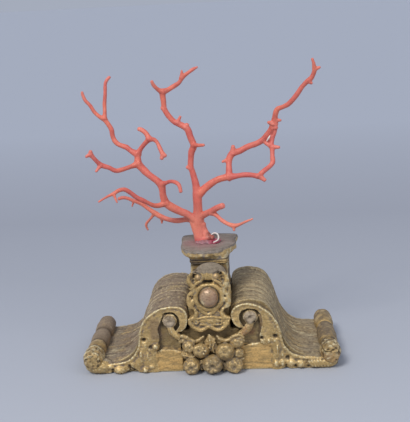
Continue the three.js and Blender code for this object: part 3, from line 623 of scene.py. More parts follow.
LEAF_GOLD = paint(216, 182, 120)
# Pale gold: pale leaf, and also the colour of painted highlights and glints
PALE_GOLD = paint(236, 220, 176)
PANEL_GOLD = paint(214, 174, 108)
DULL_GOLD = paint(168, 140, 90)
GREY_WOOD = paint(146, 132, 112)
BROWN_WOOD = paint(132, 114, 88)
DARK_WOOD = paint(96, 80, 62)
BLOCK_WOOD = paint(118, 100, 78)
LEFT_WOOD = paint(150, 130, 108)
RIGHT_WOOD = paint(164, 144, 110)
BALL_GREY = paint(176, 160, 140)
BOLE_RED = paint(146, 92, 66)
INNER_BROWN = paint(122, 98, 84)
SADDLE_GREY = paint(142, 130, 112)
OCHRE = paint(172, 142, 92)
SUNK_GROUND = paint(112, 94, 62)
# Dark brown: real dirt, and also painted shade in hollows, holes, grooves, necks and undersides
GRIME_AND_SHADE = paint(50, 36, 18)
CAP_GREY = paint(150, 138, 128)
FRUIT_OLIVE = paint(146, 128, 100)
DOME_GREY = paint(138, 124, 106)
BOSS_PINK = paint(184, 152, 122)
WAX_STAIN = paint(160, 92, 108)


def mixed(under, over, share):
    """Colours over others by a share from 0 to 1."""
    share = np.atleast_1d(np.clip(share, 0, 1))[:, None]
    return under * (1 - share) + over * share


def near_spot(points, x, z, reach):
    """1 at an X-Z place, falling to 0 at that reach from it."""
    distance = np.hypot(points[:, 0] - x, points[:, 2] - z)
    return 1 - smoothstep(0.7 * reach, reach, distance)


def gilding(surface, gold, bare, shade_and_grime_strength=1.0, seed=0):
    """The marks of worn gilding: bare wood where the gold share is low, gold where it is high, paler
    gold on edges as a painted highlight, red ground where it is rubbed, and dirt with painted shade
    in the hollows."""
    points = surface.points
    fine = surface.stand_out(3)
    broad = surface.stand_out(30)
    wide = surface.stand_out(110)
    patchy = rough(points, 5, seed) * 0.35 + rough(points, 1.8, seed + 9) * 0.25
    share = smoothstep(0.35, 0.7, gold + patchy + 1.2 * np.clip(broad, -0.3, 0.5))
    shade = smoothstep(-0.5, 0.6, rough(points, 9, seed + 5))
    colour = mixed(bare, DARK_WOOD, 0.35 * shade)
    leafed = mixed(DULL_GOLD, LEAF_GOLD, 0.35 + 0.65 * shade)
    colour = mixed(colour, leafed, share)
    rubbed = smoothstep(0.25, 0.6, rough(points, 3.4, seed + 3)) * (1 - np.abs(2 * share - 1))
    colour = mixed(colour, BOLE_RED, 0.55 * rubbed)
    # Pale flecks of leaf on the gold, partly painted glints, and dark flecks of bare wood
    fleck = waves(points, 1.5, seed + 11) + 0.5 * waves(points, 3.1, seed + 12)
    colour = mixed(colour, PALE_GOLD, 0.3 * share * smoothstep(0.35, 1.0, fleck))
    colour = mixed(colour, DARK_WOOD, 0.24 * smoothstep(0.35, 1.0, -fleck))
    # Painted highlight: paler gold on fine edges and on broad raised parts
    bright = smoothstep(0.04, 0.16, fine) * smoothstep(0.1, 0.5, share)
    colour = mixed(colour, PALE_GOLD, 0.75 * bright + 0.35 * smoothstep(0.25, 0.9, broad) * share)
    # Darker in narrow and in wide hollows: real dirt, and painted shade
    dark = smoothstep(0.08, 0.75, -broad) * 0.62 + smoothstep(0.3, 1.9, -wide) * 0.6
    colour = mixed(colour, GRIME_AND_SHADE, shade_and_grime_strength * np.clip(dark, 0, 0.92))
    return {"tint": colour, "gold": share * (1 - np.clip(dark, 0, 1))}


# The coral

def coral_tubes():
    """Each limb as a knotty tube: its radius swells and shrinks a little along it, and a thin limb's
    grows at its root by a falling exponential of the way along it."""
    shapes = []
    for number, stations in enumerate(CORAL_LIMBS):
        path = through(stations, LIMB_STEP)
        knots = 1 + 0.07 * waves(path[:, :3] + 31 * number, 5.5, 3)
        path[:, 3] *= knots
        if number > 0:
            run = LIMB_STEP * np.arange(len(path))
            flare = ROOT_FLARE * smoothstep(4.6, 3, stations[0][3])
            path[:, 3] *= 1 + flare * np.exp(-run / ROOT_REACH)
        shapes.append(tube(path, step=5, sides=22, blunt=0.35))
    return shapes


# How many points are compared with the centrelines at a time
AT_ONCE = 4000


def nearest_on_limbs(points):
    """For each point, [cosine and sine of its angle round the limb, length along it] and how near it
    is to a free tip, from the nearest of the limbs' centre points."""
    centres, frames, tips = [], [], []
    for number, stations in enumerate(CORAL_LIMBS):
        path = through(stations, 1.5)[:, :3]
        along = directions(path)
        side = side_vectors(along)
        run = np.concatenate([[0], np.cumsum(np.linalg.norm(np.diff(path, axis=0), axis=1))])
        centres.append(path)
        frames.append(np.column_stack([side, np.cross(along, side), run + 57 * number]))
        left = run[-1] - run if stations not in CARRIED_ON else np.full(len(run), NO_TIP)
        tips.append(left)
    centres = np.vstack(centres).astype(np.float32)
    frames = np.vstack(frames)
    tips = np.concatenate(tips)
    nearest = np.empty(len(points), dtype=np.int64)
    size = np.sum(centres**2, axis=1)
    for start in range(0, len(points), AT_ONCE):
        part = points[start:start + AT_ONCE].astype(np.float32)
        nearest[start:start + AT_ONCE] = np.argmin(size - 2 * part @ centres.T, axis=1)
    offset = points - centres[nearest]
    own = frames[nearest]
    x = np.sum(offset * own[:, :3], axis=1)
    z = np.sum(offset * own[:, 3:6], axis=1)
    angle = np.arctan2(z, x)
    return np.column_stack([np.cos(angle), np.sin(angle), own[:, 6]]), tips[nearest]


def on_knob(points):
    """1 on the rough knob at the right of the coral's foot, and 0 off it."""
    share = smoothstep(-3.5, 2.5, points[:, 0]) * smoothstep(134, 131, points[:, 2])
    return share * smoothstep(14, 11, points[:, 0])


def coral(material):
    """The branch: all its limbs grown into one, with fine ribs along them, low lumps and a rough knob
    at the foot."""
    surface = grown_together(coral_tubes(), CORAL_GRAIN)
    surface.points = surface.relaxed(surface.points, 4)
    normals = surface.normals()
    grain, tip = nearest_on_limbs(surface.points)
    ribs = waves(grain * [4.5, 4.5, 0.06], 1, 5) * 0.07
    lumps = 0.22 * waves(surface.points, 7, 1) + 0.1 * waves(surface.points, 2.6, 2)
    at_knob = on_knob(surface.points)
    lumps = lumps + at_knob * 0.8 * rough(surface.points, 2.4, 6)
    surface.points = surface.points + normals * (lumps + ribs)[:, None]
    marks = {
        "grain": grain * [1, 1, 0.05],
        "tip": 1 - smoothstep(1, 14, tip),
        "foot": 1 - smoothstep(122.5, 129, surface.points[:, 2]),
        "trunk": 1 - smoothstep(146, 170, surface.points[:, 2]),
        "knob": at_knob * smoothstep(-0.7, 0.2, rough(surface.points, 2.6, 7)),
        # How far a point lies in a crook between limbs, for painted shade
        "hollow": smoothstep(0.02, 0.35, -surface.stand_out(25)),
    }
    nodes = [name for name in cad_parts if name.startswith("coral_")]
    piece("red_coral", surface.points, surface.quads, material, nodes, marks)


# The scrolls

def shoulder(profile, side):
    """The scroll's body: its profile carried from front to back, lower towards the front, with
    grooves that follow the profile. The ridges between the grooves are the root of a sine of the
    depth, bent a little along the profile, with finer lines on them; they fade out on the underside."""
    edge = through(profile[3:20], 1.3)
    outline = np.vstack([profile[:3], edge, profile[20:]])
    rows = np.linspace(SUNK, HALF_DEPTH, 170)
    ahead = directions(outline, closed=True)
    outward = np.column_stack([ahead[:, 1], -ahead[:, 0]]) * side
    run = np.concatenate([[0], np.cumsum(np.linalg.norm(np.diff(outline, axis=0), axis=1))])
    grooved = smoothstep(3, 12, run - run[3]) * smoothstep(0, 10, run[-3] - run)
    grooved = grooved * (0.3 + 0.7 * smoothstep(100, 78, np.abs(outline[:, 0])))
    rings = []
    for y in rows:
        fall = 1 - FRONT_FALL * (HALF_DEPTH - y) / (2 * HALF_DEPTH)
        place = outline + outward * (grooved * ridges(y, run, side))[:, None]
        rings.append(np.column_stack([place[:, 0], np.full(len(run), y), place[:, 1] * fall]))
    return skin(np.array(rings))


def ridges(y, run, side):
    """How far the ridged top stands out at a depth, along the run of the profile. The depth is bent
    by slow waves first, so that the grooves wander, part and meet."""
    spacing = RIGHT_RIDGE if side > 0 else LEFT_RIDGE
    slow = np.column_stack([np.full(len(run), y), run * 0.4, np.zeros(len(run))])
    bend = 3.2 * np.sin(run / 23 + side) + 1.3 * np.sin(run / 9 + y / 14) + 4.5 * waves(slow, 26, 9 + side)
    at = np.column_stack([y + bend, run * 0.05, np.zeros(len(run))])
    ridge = np.sqrt(np.abs(np.sin(math.pi * (y + bend) / spacing))) - 0.75
    depth = 0.75 + 0.5 * waves(slow, 17, 5 + side)
    fine = 0.16 * waves(at, 1.9, 11 + side) + 0.34 * waves(at, 4.5, 17 + side)
    lift = 1.5 * depth * ridge * smoothstep(-47, -41, y) + fine
    if side < 0:
        lift = lift + 1.3 * np.exp(-(((y + 6 + bend * 0.4) / 1.2) ** 2)) - 0.2
    return lift


def studs(places):
    """Rounded lumps standing out of the sunk ground: [x, z, half width, half height, front]."""
    return [ball((x, SUNK, z), (width, SUNK - front, height)) for x, z, width, height, front in places]


def left_front():
    """What stands on the left scroll's sunk ground: the rim and its edge, the ball in its eye with a
    stem, the hanging leaves, the panel and the lumps along the foot."""
    y = FRONT
    return [
        slab(LEFT_RIM, y + 0.8, DEEP + 3, ease=2.4),
        slab(LEFT_PANEL, y + 2.4, DEEP + 3, ease=1.4, curved=False),
        line([[-112, 10], [-98, 10.3], [-86, 12.2], [-77.5, 18], [-72, 27.5], [-70, 38], [-68.5, 47],
              [-64, 56], [-56, 63], [-48, 67.2], [-40, 68.8], [-31, 68.6], [-25.4, 66], [-22.8, 60.5],
              [-22.7, 54], [-25, 47.8], [-29.5, 43.5]], y + 1.1, 1.3),
        slab([[-62, 35], [-54.5, 34.5], [-52, 44], [-49.5, 52.5], [-44.5, 59.5], [-47, 63.5], [-57, 57],
              [-62, 47]], y + 1.8, DEEP + 3, ease=3.2),
        fruit((LEFT_EYE[0], -47.4, LEFT_EYE[1]), (7.4, 6.6, 7.4), lobes=6, dent=0.24, tilt=(0.15, 0.1)),
        tube([[-39.4, -49.4, 49, 2.6], [-37.6, -49.2, 43.5, 3.1], [-33, -49.4, 38.6, 3.4],
              [-26.9, -50.6, 35, 2.8]]),
        slab([[-65, 41], [-60, 43], [-54, 42], [-50.8, 36], [-52.6, 32], [-55.5, 34], [-57.7, 31.2],
              [-60, 34.6], [-62.4, 32.4], [-66.4, 35]], y + 0.6, DEEP + 3, ease=2.4),
        slab([[-64.6, 33], [-71, 24], [-76.4, 15], [-76, 7], [-72, 4.8], [-69, 8.6], [-65.4, 13.4],
              [-62.6, 11.4], [-59.6, 14.6], [-60, 22]], y + 0.2, DEEP + 3, ease=3),
        slab([[-58.6, 25], [-54.4, 23.6], [-52.6, 18], [-53, 12], [-56, 11], [-58.2, 16]],
             y + 0.8, DEEP + 3, ease=2),
        *studs([
            [-70, 20, 2.6, 7, -53.6], [-74, 10.6, 2.2, 3.6, -52.8], [-63.4, 19, 2.2, 6, -53.2],
            [-55.2, 28.3, 4.2, 4.2, -55], [-66.6, 4, 4.6, 4, -55], [-60, 6.6, 4.6, 4, -53],
            [-79.8, 8.8, 4, 5.8, -52.8], [-84.8, 6.4, 3.4, 4.6, -52.4], [-92.3, 4.9, 8.4, 5.6, -55.6],
            [-114, 7.6, 14.4, 7.6, -55.2], [-101.5, 7.8, 5.4, 4, -53.4],
        ]),
    ]


def right_front():
    """What stands on the right scroll's sunk ground, as on the left one, with its own leaves and a
    fan of slanting flutes at the toe."""
    y = FRONT
    shapes = [
        slab(RIGHT_RIM, y + 0.8, DEEP + 3, ease=2.4),
        slab(RIGHT_PANEL, y + 2.4, DEEP + 3, ease=1.4, curved=False),
        line([[116, 10.4], [107, 10.8], [94, 11.6], [81.8, 14.9], [73.2, 23.6], [70.2, 32.5], [68.6, 41.5],
              [66, 49.5], [61.5, 57], [57, 61.6], [52, 65.2], [46.2, 68.2], [39.9, 69.9], [33.9, 69.7],
              [28.3, 67.8], [24.6, 64.6], [22.9, 60.5], [23.1, 55.6], [25.6, 50.2], [29.6, 46.3]],
             y + 1.1, 1.3),
        slab([[52, 64], [58, 62], [64, 52], [67.5, 42], [67, 35.5], [62, 36], [59, 43], [55, 52]],
             y + 0.6, DEEP + 3, ease=3),
        slab([[48.5, 58], [52.5, 58], [57.5, 48], [58.4, 38.6], [51.2, 38.6], [50.4, 47]],
             y + 2.6, DEEP + 3, ease=2.6),
        fruit((RIGHT_EYE[0], -47.4, RIGHT_EYE[1]), (7.3, 6.6, 7.3), lobes=6, dent=0.34, tilt=(0.12, -0.05)),
        tube([[41, -49.6, 50, 3], [38, -49.4, 45, 3.7], [33.5, -49.6, 40.5, 3.6], [27, -50.8, 37, 2.8]]),
        slab([[50.2, 39], [55, 39.8], [60, 37], [64.6, 33], [63, 27.4], [58.8, 24.2], [56, 28],
              [54.4, 31.2], [50.6, 33]], y + 0.5, DEEP + 3, ease=2.6),
        slab([[62.2, 33], [66.6, 32], [71, 26.4], [70.4, 18], [67.6, 11], [63.8, 9], [60.6, 12.4],
              [62.4, 21]], y + 0.3, DEEP + 3, ease=2.8),
        *studs([
            [66.6, 22, 2.2, 8, -53.8], [71.4, 16.5, 2.6, 6, -52.4], [58.2, 31, 2.4, 4, -53.6],
            [65.2, 6.4, 4.2, 5.2, -54.4], [71.2, 7.4, 4.2, 5.4, -54], [80, 7, 5.8, 5.8, -54.2],
            [89.2, 5.8, 6.4, 5.6, -54.6], [104, 6, 12.4, 5.9, -54], [117.6, 8, 9.4, 7.8, -54.6],
        ]),
    ]
    for x in np.arange(97, 115, 3.1):
        shapes.append(line([[x + 4.2, 2.8], [x + 2.4, 5.6], [x - 0.4, 9.4]], y - 1.3, 0.95))
    return shapes


def tool_marks(points, seed):
    """Short gouge strokes, longer in X than in Z."""
    return waves(points * [0.25, 0.3, 1.0], 1.9, seed) + 0.6 * waves(points * [0.4, 0.4, 1], 1.0, seed + 1)


def pitted(surface, pits):
    """Small round holes: each (x, z, radius, depth) pushes the points in by a bell curve round it. Returns
    how deep each point lies, which sets the painted shade in the holes.
    """
    normals = surface.normals()
    facing = smoothstep(0.2, 0.7, -normals[:, 1])
    depth = np.zeros(len(surface.points))
    for x, z, radius, deep in pits:
        reach = np.hypot(surface.points[:, 0] - x, surface.points[:, 2] - z) / radius
        reach = reach * (1 + 0.3 * waves(surface.points, 2.6, 31))
        depth += deep * np.exp(-reach**2) * facing
    surface.points[:, 1] += depth
    return smoothstep(0.5, 3.2, depth)


def on_top(points, side):
    """The marks of the ridged top: (light line, gold patch, dark spot), each from 0 to 1."""
    warp = 2.2 * waves(points * [0.05, 0, 0.05], 1, 3) + 0.9 * waves(points, 9, 8)
    along = np.column_stack([points[:, 1] + warp, points[:, 0] * 0.09, points[:, 2] * 0.09])
    light = smoothstep(0.35, 0.8, waves(along, 2.6, 13 + side) + 0.35 * waves(points, 5, 15))
    light = light * smoothstep(-0.3, 0.4, waves(points, 14, 16))
    patch = smoothstep(-0.1, 0.6, rough(along * [1, 4, 4], 9, 19 + side))
    spot = smoothstep(0.3, 0.65, waves(points * [0.5, 1.1, 0.5], 3.4, 23 + side))
    spot = spot * smoothstep(-0.2, 0.4, waves(points, 13, 29))
    return light, patch, spot


def panel_share(points, panel, front):
    """1 on a scroll's panel and 0 off it, with a ragged edge."""
    x0, x1, z0, z1 = panel
    ragged = 2.4 * waves(points, 5, 33) + 0.8 * waves(points, 2, 34)
    return (
        smoothstep(x0 - 1, x0 + 1, points[:, 0] + ragged) * smoothstep(x1 + 1, x1 - 1, points[:, 0] + ragged)
        * smoothstep(z0 - 1, z0 + 1, points[:, 2])
        * smoothstep(z1 + 1.5, z1 - 1.5, points[:, 2] + 1.3 * ragged) * front
    )


def inner_share(points, side):
    """1 in the bare hollow between the scroll's leaves and its eye, and 0 out of it."""
    if side < 0:
        inner = smoothstep(-62, -57, points[:, 0]) * smoothstep(-48, -51, points[:, 0])
        return inner * smoothstep(34, 38, points[:, 2]) * smoothstep(60, 55, points[:, 2])
    inner = smoothstep(49, 50.5, points[:, 0]) * smoothstep(60, 57, points[:, 0])
    inner = inner * smoothstep(37, 40, points[:, 2]) * smoothstep(60, 56, points[:, 2])
    return inner * smoothstep(-51.2, -50.2, points[:, 1])


def top_tint(points, tint, upper, light, spot, relief, side):
    """The tint of the ridged top: light lines and dark spots, a grey outer end, ochre patches, arcs
    of gold and dirt on the saddle, then painted shade in the hollows and a painted highlight on
    what stands out."""
    tint = mixed(tint, PALE_GOLD, upper * light * (0.5 if side > 0 else 0.36))
    tint = mixed(tint, GRIME_AND_SHADE, upper * spot * (0.3 if side > 0 else 0.5))
    flat_part = smoothstep(88, 104, np.abs(points[:, 0]) + 8 * waves(points, 16, 35))
    tint = mixed(tint, SADDLE_GREY, 0.45 * upper * flat_part)
    ochre = smoothstep(0.0, 0.5, rough(points * [0.5, 1, 0.5], 6, 36))
    ochre = ochre * smoothstep(64, 72, np.abs(points[:, 0]))
    tint = mixed(tint, OCHRE, 0.5 * upper * ochre * (1 - 0.6 * flat_part))
    arcs = points * [0.35, 1, 0.35]
    arcs[:, 1] += 3 * waves(points, 12, 37)
    strokes = waves(arcs, 3, 38)
    on_saddle = upper * smoothstep(64, 76, np.abs(points[:, 0]))
    tint = mixed(tint, PALE_GOLD, 0.4 * on_saddle * smoothstep(0.4, 0.75, strokes))
    tint = mixed(tint, GRIME_AND_SHADE, 0.32 * on_saddle * smoothstep(0.4, 0.75, -strokes))
    # Painted shade in the hollows between the ridges, and a painted highlight on what stands out
    tint = mixed(tint, GRIME_AND_SHADE, 0.5 * upper * smoothstep(0.02, 0.3, -relief))
    return mixed(tint, PALE_GOLD, 0.3 * upper * smoothstep(0.04, 0.3, relief))


def scroll(name, profile, front_shapes, panel, eye, pits, side, material):
    """One scroll: its shoulder and the shapes of its front grown into one, then carved all over,
    gouged on the panel and pitted; gilded in front, worn on top and dark in its sunk ground."""
    surface = grown_together([shoulder(profile, side), *front_shapes], SCROLL_GRAIN)
    surface.points = surface.relaxed(surface.points, 2)
    points = surface.points
    normals = surface.normals()
    facing = smoothstep(0.15, 0.6, -normals[:, 1])
    front = smoothstep(-42, -45, points[:, 1]) * facing
    on_panel = panel_share(points, panel, front)
    stroke = tool_marks(points, 4)
    carved = 0.42 * rough(points, 3.2, 21 + side) + 0.22 * waves(points, 1.4, 27 + side)
    carved = carved * (1 - 0.6 * on_panel) + on_panel * 0.34 * np.clip(stroke, -1, 0.4)
    surface.points = points + normals * (carved * smoothstep(0.2, 2, points[:, 2]))[:, None]
    holes = pitted(surface, pits)
    surface.points[:, 2] = np.maximum(surface.points[:, 2], 0)
    points = surface.points
    sideways = smoothstep(0.1, 0.5, np.hypot(normals[:, 0], normals[:, 2]))
    upper = sideways * smoothstep(-50.5, -48, points[:, 1])
    gold = 0.78 * front + 0.35 * (1 - upper) * (1 - front)
    light, patch, spot = on_top(points, side)
    relief = surface.stand_out(30)
    low = smoothstep(62, 20, points[:, 2])
    gold = gold + upper * (0.12 + 0.5 * patch * (0.45 + 0.55 * low) - 0.12 * (1 - patch))
    bare = LEFT_WOOD if side < 0 else RIGHT_WOOD
    marks = gilding(surface, gold, bare, seed=40 + side)
    tint = top_tint(points, marks["tint"], upper, light, spot, relief, side)
    sunk = front * smoothstep(SUNK - 2.2, SUNK - 0.6, points[:, 1])
    tint = mixed(tint, SUNK_GROUND, 0.6 * sunk)
    tint = mixed(tint, INNER_BROWN, 0.55 * front * inner_share(points, side))
    panelled = mixed(DULL_GOLD, PANEL_GOLD, 0.25 + 0.75 * smoothstep(-0.7, 0.3, stroke))
    tint = mixed(tint, panelled, 0.9 * on_panel)
    on_eye = near_spot(points, *eye, 7.8) * facing * smoothstep(-44, -47, points[:, 1])
    eye_tint = mixed(DARK_WOOD, BALL_GREY, smoothstep(-0.5, 0.3, rough(points, 4, 25)))
    tint = mixed(tint, eye_tint, 0.85 * on_eye)
    red = near_spot(points, eye[0] - 3, eye[1] - 15, 9) * front
    red = red * smoothstep(-0.3, 0.3, rough(points, 5, 28))
    tint = mixed(tint, BOLE_RED, (0.5 if side > 0 else 0.1) * red)
    # Painted shade inside the pits
    marks["tint"] = mixed(tint, GRIME_AND_SHADE, 0.6 * holes)
    marks["gold"] = marks["gold"] * (1 - on_eye) * (1 - 0.6 * on_panel)
    piece(name + "_carving", surface.points, surface.quads, material, [name], marks)


# The block in the middle, the bunch of fruit and the cartouche

def centre(material):
    """The block: foot, waist, die and neck grown into one, with worn edges and a brushed neck that
    keeps some of its gold."""
    shapes = [
        block(-CENTRE_HALF_WIDTH, CENTRE_HALF_WIDTH, BLOCK_FRONT, HALF_DEPTH, 0, FOOT_TOP),
        block(-WAIST_HALF_WIDTH, WAIST_HALF_WIDTH, BLOCK_FRONT, HALF_DEPTH, 0, WAIST_TOP),
        block(NECK_LEFT, NECK_RIGHT, BLOCK_FRONT, NECK_BACK, 0, DIE_TOP),
        block(NECK_LEFT, NECK_RIGHT, NECK_FRONT, NECK_BACK, 0, CAP_BOTTOM - 0.3),
    ]
    surface = grown_together(shapes, BLOCK_GRAIN)
    surface.points = surface.relaxed(surface.points, 2)
    normals = surface.normals()
    on_neck = smoothstep(92, 96, surface.points[:, 2])
    brushed = waves(surface.points * [0.1, 0.2, 1], 2.3, 62) + 0.4 * waves(surface.points, 5, 63)
    wear = 0.3 * rough(surface.points, 4, 61) + 0.45 * on_neck * brushed
    surface.points = surface.points + normals * (wear * smoothstep(0.2, 2, surface.points[:, 2]))[:, None]
    surface.points[:, 2] = np.maximum(surface.points[:, 2], 0)
    points = surface.points
    high = smoothstep(96, 100, points[:, 2])
    gold = 0.15 + high * (0.1 + 0.45 * smoothstep(-0.2, 0.6, brushed))
    marks = gilding(surface, gold, BLOCK_WOOD, seed=60)
    sunk = smoothstep(-40, -43, points[:, 1]) * smoothstep(70, 60, points[:, 2])
    ground = mixed(SUNK_GROUND * 1.9, SUNK_GROUND, 0.5 * smoothstep(-0.3, 0.5, rough(points, 5, 64)))
    marks["tint"] = mixed(marks["tint"], ground, 0.9 * sunk)
    browned = smoothstep(0.1, -0.5, brushed) + smoothstep(101.5, 104, points[:, 2])
    marks["tint"] = mixed(marks["tint"], GRIME_AND_SHADE, np.clip(0.45 * high * browned, 0, 0.8))
    piece("centre_block_carving", points, surface.quads, material, ["centre_block"], marks)


def calyx(x, y, z, radius, petals, size):
    """A ring of small petals round a fruit's eye."""
    return [
        ball((x + radius * math.cos(turn), y, z + radius * math.sin(turn)), (size, size * 0.8, size), 10, 14)
        for turn in np.linspace(0, 2 * math.pi, petals, endpoint=False)
    ]


def ribbon(points, radius):
    """A scalloped ribbon edge in front of the bunch."""
    return line(points, -53.4, radius)


def bunch_shapes():
    """Eight fruits, each with its own eye, with leaves and petals on a leafy ground, under two
    scalloped ribbons."""
    ground = [[-22, 1], [25, 1], [27.5, 12], [29, 33], [22, 35], [8, 31], [0, 34], [-9, 31], [-20, 35],
              [-26, 34], [-24.5, 16]]
    return [
        slab(ground, -48, DEEP, ease=2.4),
        fruit((-21.6, -54.2, 29.1), (6.4, 6.2, 6.4), lobes=5, dent=0.2, tilt=(0.1, -0.1)),
        fruit((-9, -55.6, 24.4), (7.8, 7.6, 7.8), lobes=5, dent=0.22, tilt=(-0.35, 0.4)),
        fruit((14.6, -55.2, 22.3), (9.5, 8.8, 9.5), lobes=6, dent=0.2, tilt=(-0.05, 0.35)),
        fruit((26.1, -53, 30.6), (7, 5.6, 5.4), lobes=3, dent=0.14, tilt=(0.3, 0.2)),
        fruit((28.1, -52, 19.8), (5.6, 5.4, 5.6), lobes=4, dent=0.14),
        fruit((-19.4, -55.8, 8.6), (8.6, 8.2, 8.4), lobes=6, dent=0.34, tilt=(0, 0)),
        fruit((1.6, -56.6, 10.2), (10.3, 9.4, 9.9), lobes=7, dent=0.38, tilt=(0, 0.05)),
        fruit((22.7, -54.6, 8.3), (9.4, 8.2, 7.9), lobes=5, dent=0.3, tilt=(0.1, -0.1)),
        *leaf([[-1, 39], [0, 34.5], [0, 30], [-1, 26]], -52, 6, 3.4),
        *leaf([[-13, 20], [-18, 18], [-24, 18.5], [-29, 20]], -51.5, 4.4, 2.8),
        *leaf([[20, 17], [24, 14.5], [29, 13.5], [33, 14]], -51.5, 4, 2.6),
        *leaf([[4, 21], [2.5, 25], [3.5, 29.5], [6, 33]], -52, 4.4, 2.6),
        *leaf([[-9, 13], [-10.5, 9], [-10, 5], [-9, 2]], -52.5, 4, 2.4),
        *leaf([[12, 12], [13.5, 8], [13.5, 4], [12.5, 1.5]], -52.5, 4, 2.4),
        *leaf([[-26, 24], [-26.6, 19], [-26, 14]], -50, 3.6, 2.2),
        *calyx(1.6, -64.1, 9.6, 4.6, 7, 1.9),
        *calyx(-19.4, -62, 8.4, 3.5, 6, 1.5),
        *calyx(-21.4, -59, 28.8, 2.7, 5, 1.2),
        *calyx(-7.4, -62, 26.4, 2.9, 5, 1.2),
        *calyx(14.6, -61.8, 24.2, 3.7, 6, 1.5),
        *calyx(22.9, -61, 8, 4, 6, 1.6),
        ribbon([[-31, 36.4], [-28.4, 39], [-23.6, 38], [-19.6, 35], [-15, 33.8], [-10.5, 35.2],
                [-6.5, 38.4]], 2.1),
        ribbon([[33, 36], [29.8, 39], [24.4, 38.2], [20, 35.2], [15.5, 33.8], [11.5, 34.8], [7.5, 38]], 2.1),
        ribbon([[-30.5, 33], [-27, 34.6], [-23.4, 34.8]], 2.4),
        ribbon([[33, 33], [30, 34.8], [26, 35.4]], 2.2),
    ]


def bunch(material):
    """The hanging bunch: its shapes grown into one, dented, pitted and olive brown, and dark behind."""
    surface = grown_together(bunch_shapes(), BUNCH_GRAIN)
    surface.points = surface.relaxed(surface.points, 2)
    normals = surface.normals()
    dents = 0.6 * rough(surface.points, 3.2, 31) + 0.3 * waves(surface.points, 1.7, 33)
    surface.points = surface.points + normals * dents[:, None]
    points = surface.points
    points[:, 2] = np.maximum(points[:, 2], 0)
    points[:, 1] = np.minimum(points[:, 1], DEEP - 0.8)
    gold = 0.3 + 0.2 * np.clip(-normals[:, 1], 0, 1) + 0.2 * smoothstep(6, 30, points[:, 2])
    marks = gilding(surface, gold, FRUIT_OLIVE, 1.15, seed=30)
    marks["tint"] = mixed(marks["tint"], FRUIT_OLIVE, 0.25 + 0.25 * near_spot(points, 1.6, 10, 11))
    pits = smoothstep(0.35, 0.6, waves(points, 2.4, 36)) * smoothstep(0.1, 0.6, waves(points, 6, 37))
    marks["tint"] = mixed(marks["tint"], GRIME_AND_SHADE, 0.65 * pits)
    behind = smoothstep(-50, -46.5, points[:, 1])
    marks["tint"] = mixed(marks["tint"], SUNK_GROUND, 0.7 * behind)
    piece("fruit_bunch_carving", points, surface.quads, material, ["fruit_bunch"], marks)


# The cartouche's outline, anticlockwise from the middle of its foot, and the front of its plate
SHIELD = [
    [0, 47.5], [3, 46.2], [6.4, 43.8], [10.5, 43.6], [14.8, 46.4], [18.4, 50.4], [21, 55.3],
    [18.5, 58], [15.5, 60], [14.2, 63.2], [15.5, 66.6], [20, 69], [22.4, 75], [23, 81.1],
    [22.6, 86.6], [21.2, 92.1], [19.6, 97], [18.6, 101.6], [14, 104.5], [9, 106], [3.5, 106],
    [-3, 106], [-9, 105.5], [-13.4, 104.4], [-17.4, 101.4], [-19.2, 97.5], [-18.8, 92],
    [-17, 88], [-15.6, 85], [-18.2, 81.3], [-20.1, 77], [-20.6, 72.3], [-18.9, 68.6],
    [-15.2, 67], [-13.4, 63.4], [-14.5, 60], [-18, 58], [-20.6, 56], [-19.4, 52.6], [-16.9, 48.5],
    [-12.9, 45.2], [-8.8, 43.6], [-5, 44.5],
]
SHIELD_FACE = -52.2
# Its oval boss, the balls in its two small scrolls and the bar on its apron: (x, z) of the middle
BOSS = (1, 79.5)
LEFT_KNOB = (-8.6, 100.6)
RIGHT_KNOB = (9, 101.2)
BAR = (1, 54.4)
# Half the width and half the height of the boss's edge
BOSS_SIZE = (9.6, 10.5)
# Hollows in the cartouche, pushed in and darkened as painted shade: [x, z, radius, depth]
SHIELD_PITS = [
    [-12.6, 102.6, 1.8, 2.6], [-10.6, 104.8, 1.5, 2], [-13, 99.6, 1.5, 2], [13.4, 103.2, 1.8, 2.6],
    [11.4, 105.6, 1.5, 2], [14.2, 99.6, 1.6, 2.2], [-3.4, 95.4, 1.5, 3], [-1.2, 95.2, 1.6, 3.2],
    [1.2, 95.2, 1.6, 3.4], [3.6, 95.4, 1.6, 3.2], [5.4, 96, 1.3, 2], [-13.4, 96.6, 1.2, 1.8],
    [14.6, 96.8, 1.2, 1.8], [-17.6, 89.8, 1.5, 2.4], [17, 80, 1.5, 2], [-16.8, 80.6, 1.3, 1.8],
    [-15.6, 62.6, 1.6, 2], [15.4, 63.4, 1.6, 2], [-10.6, 65, 1.4, 1.4], [11.4, 65, 1.4, 1.4],
]


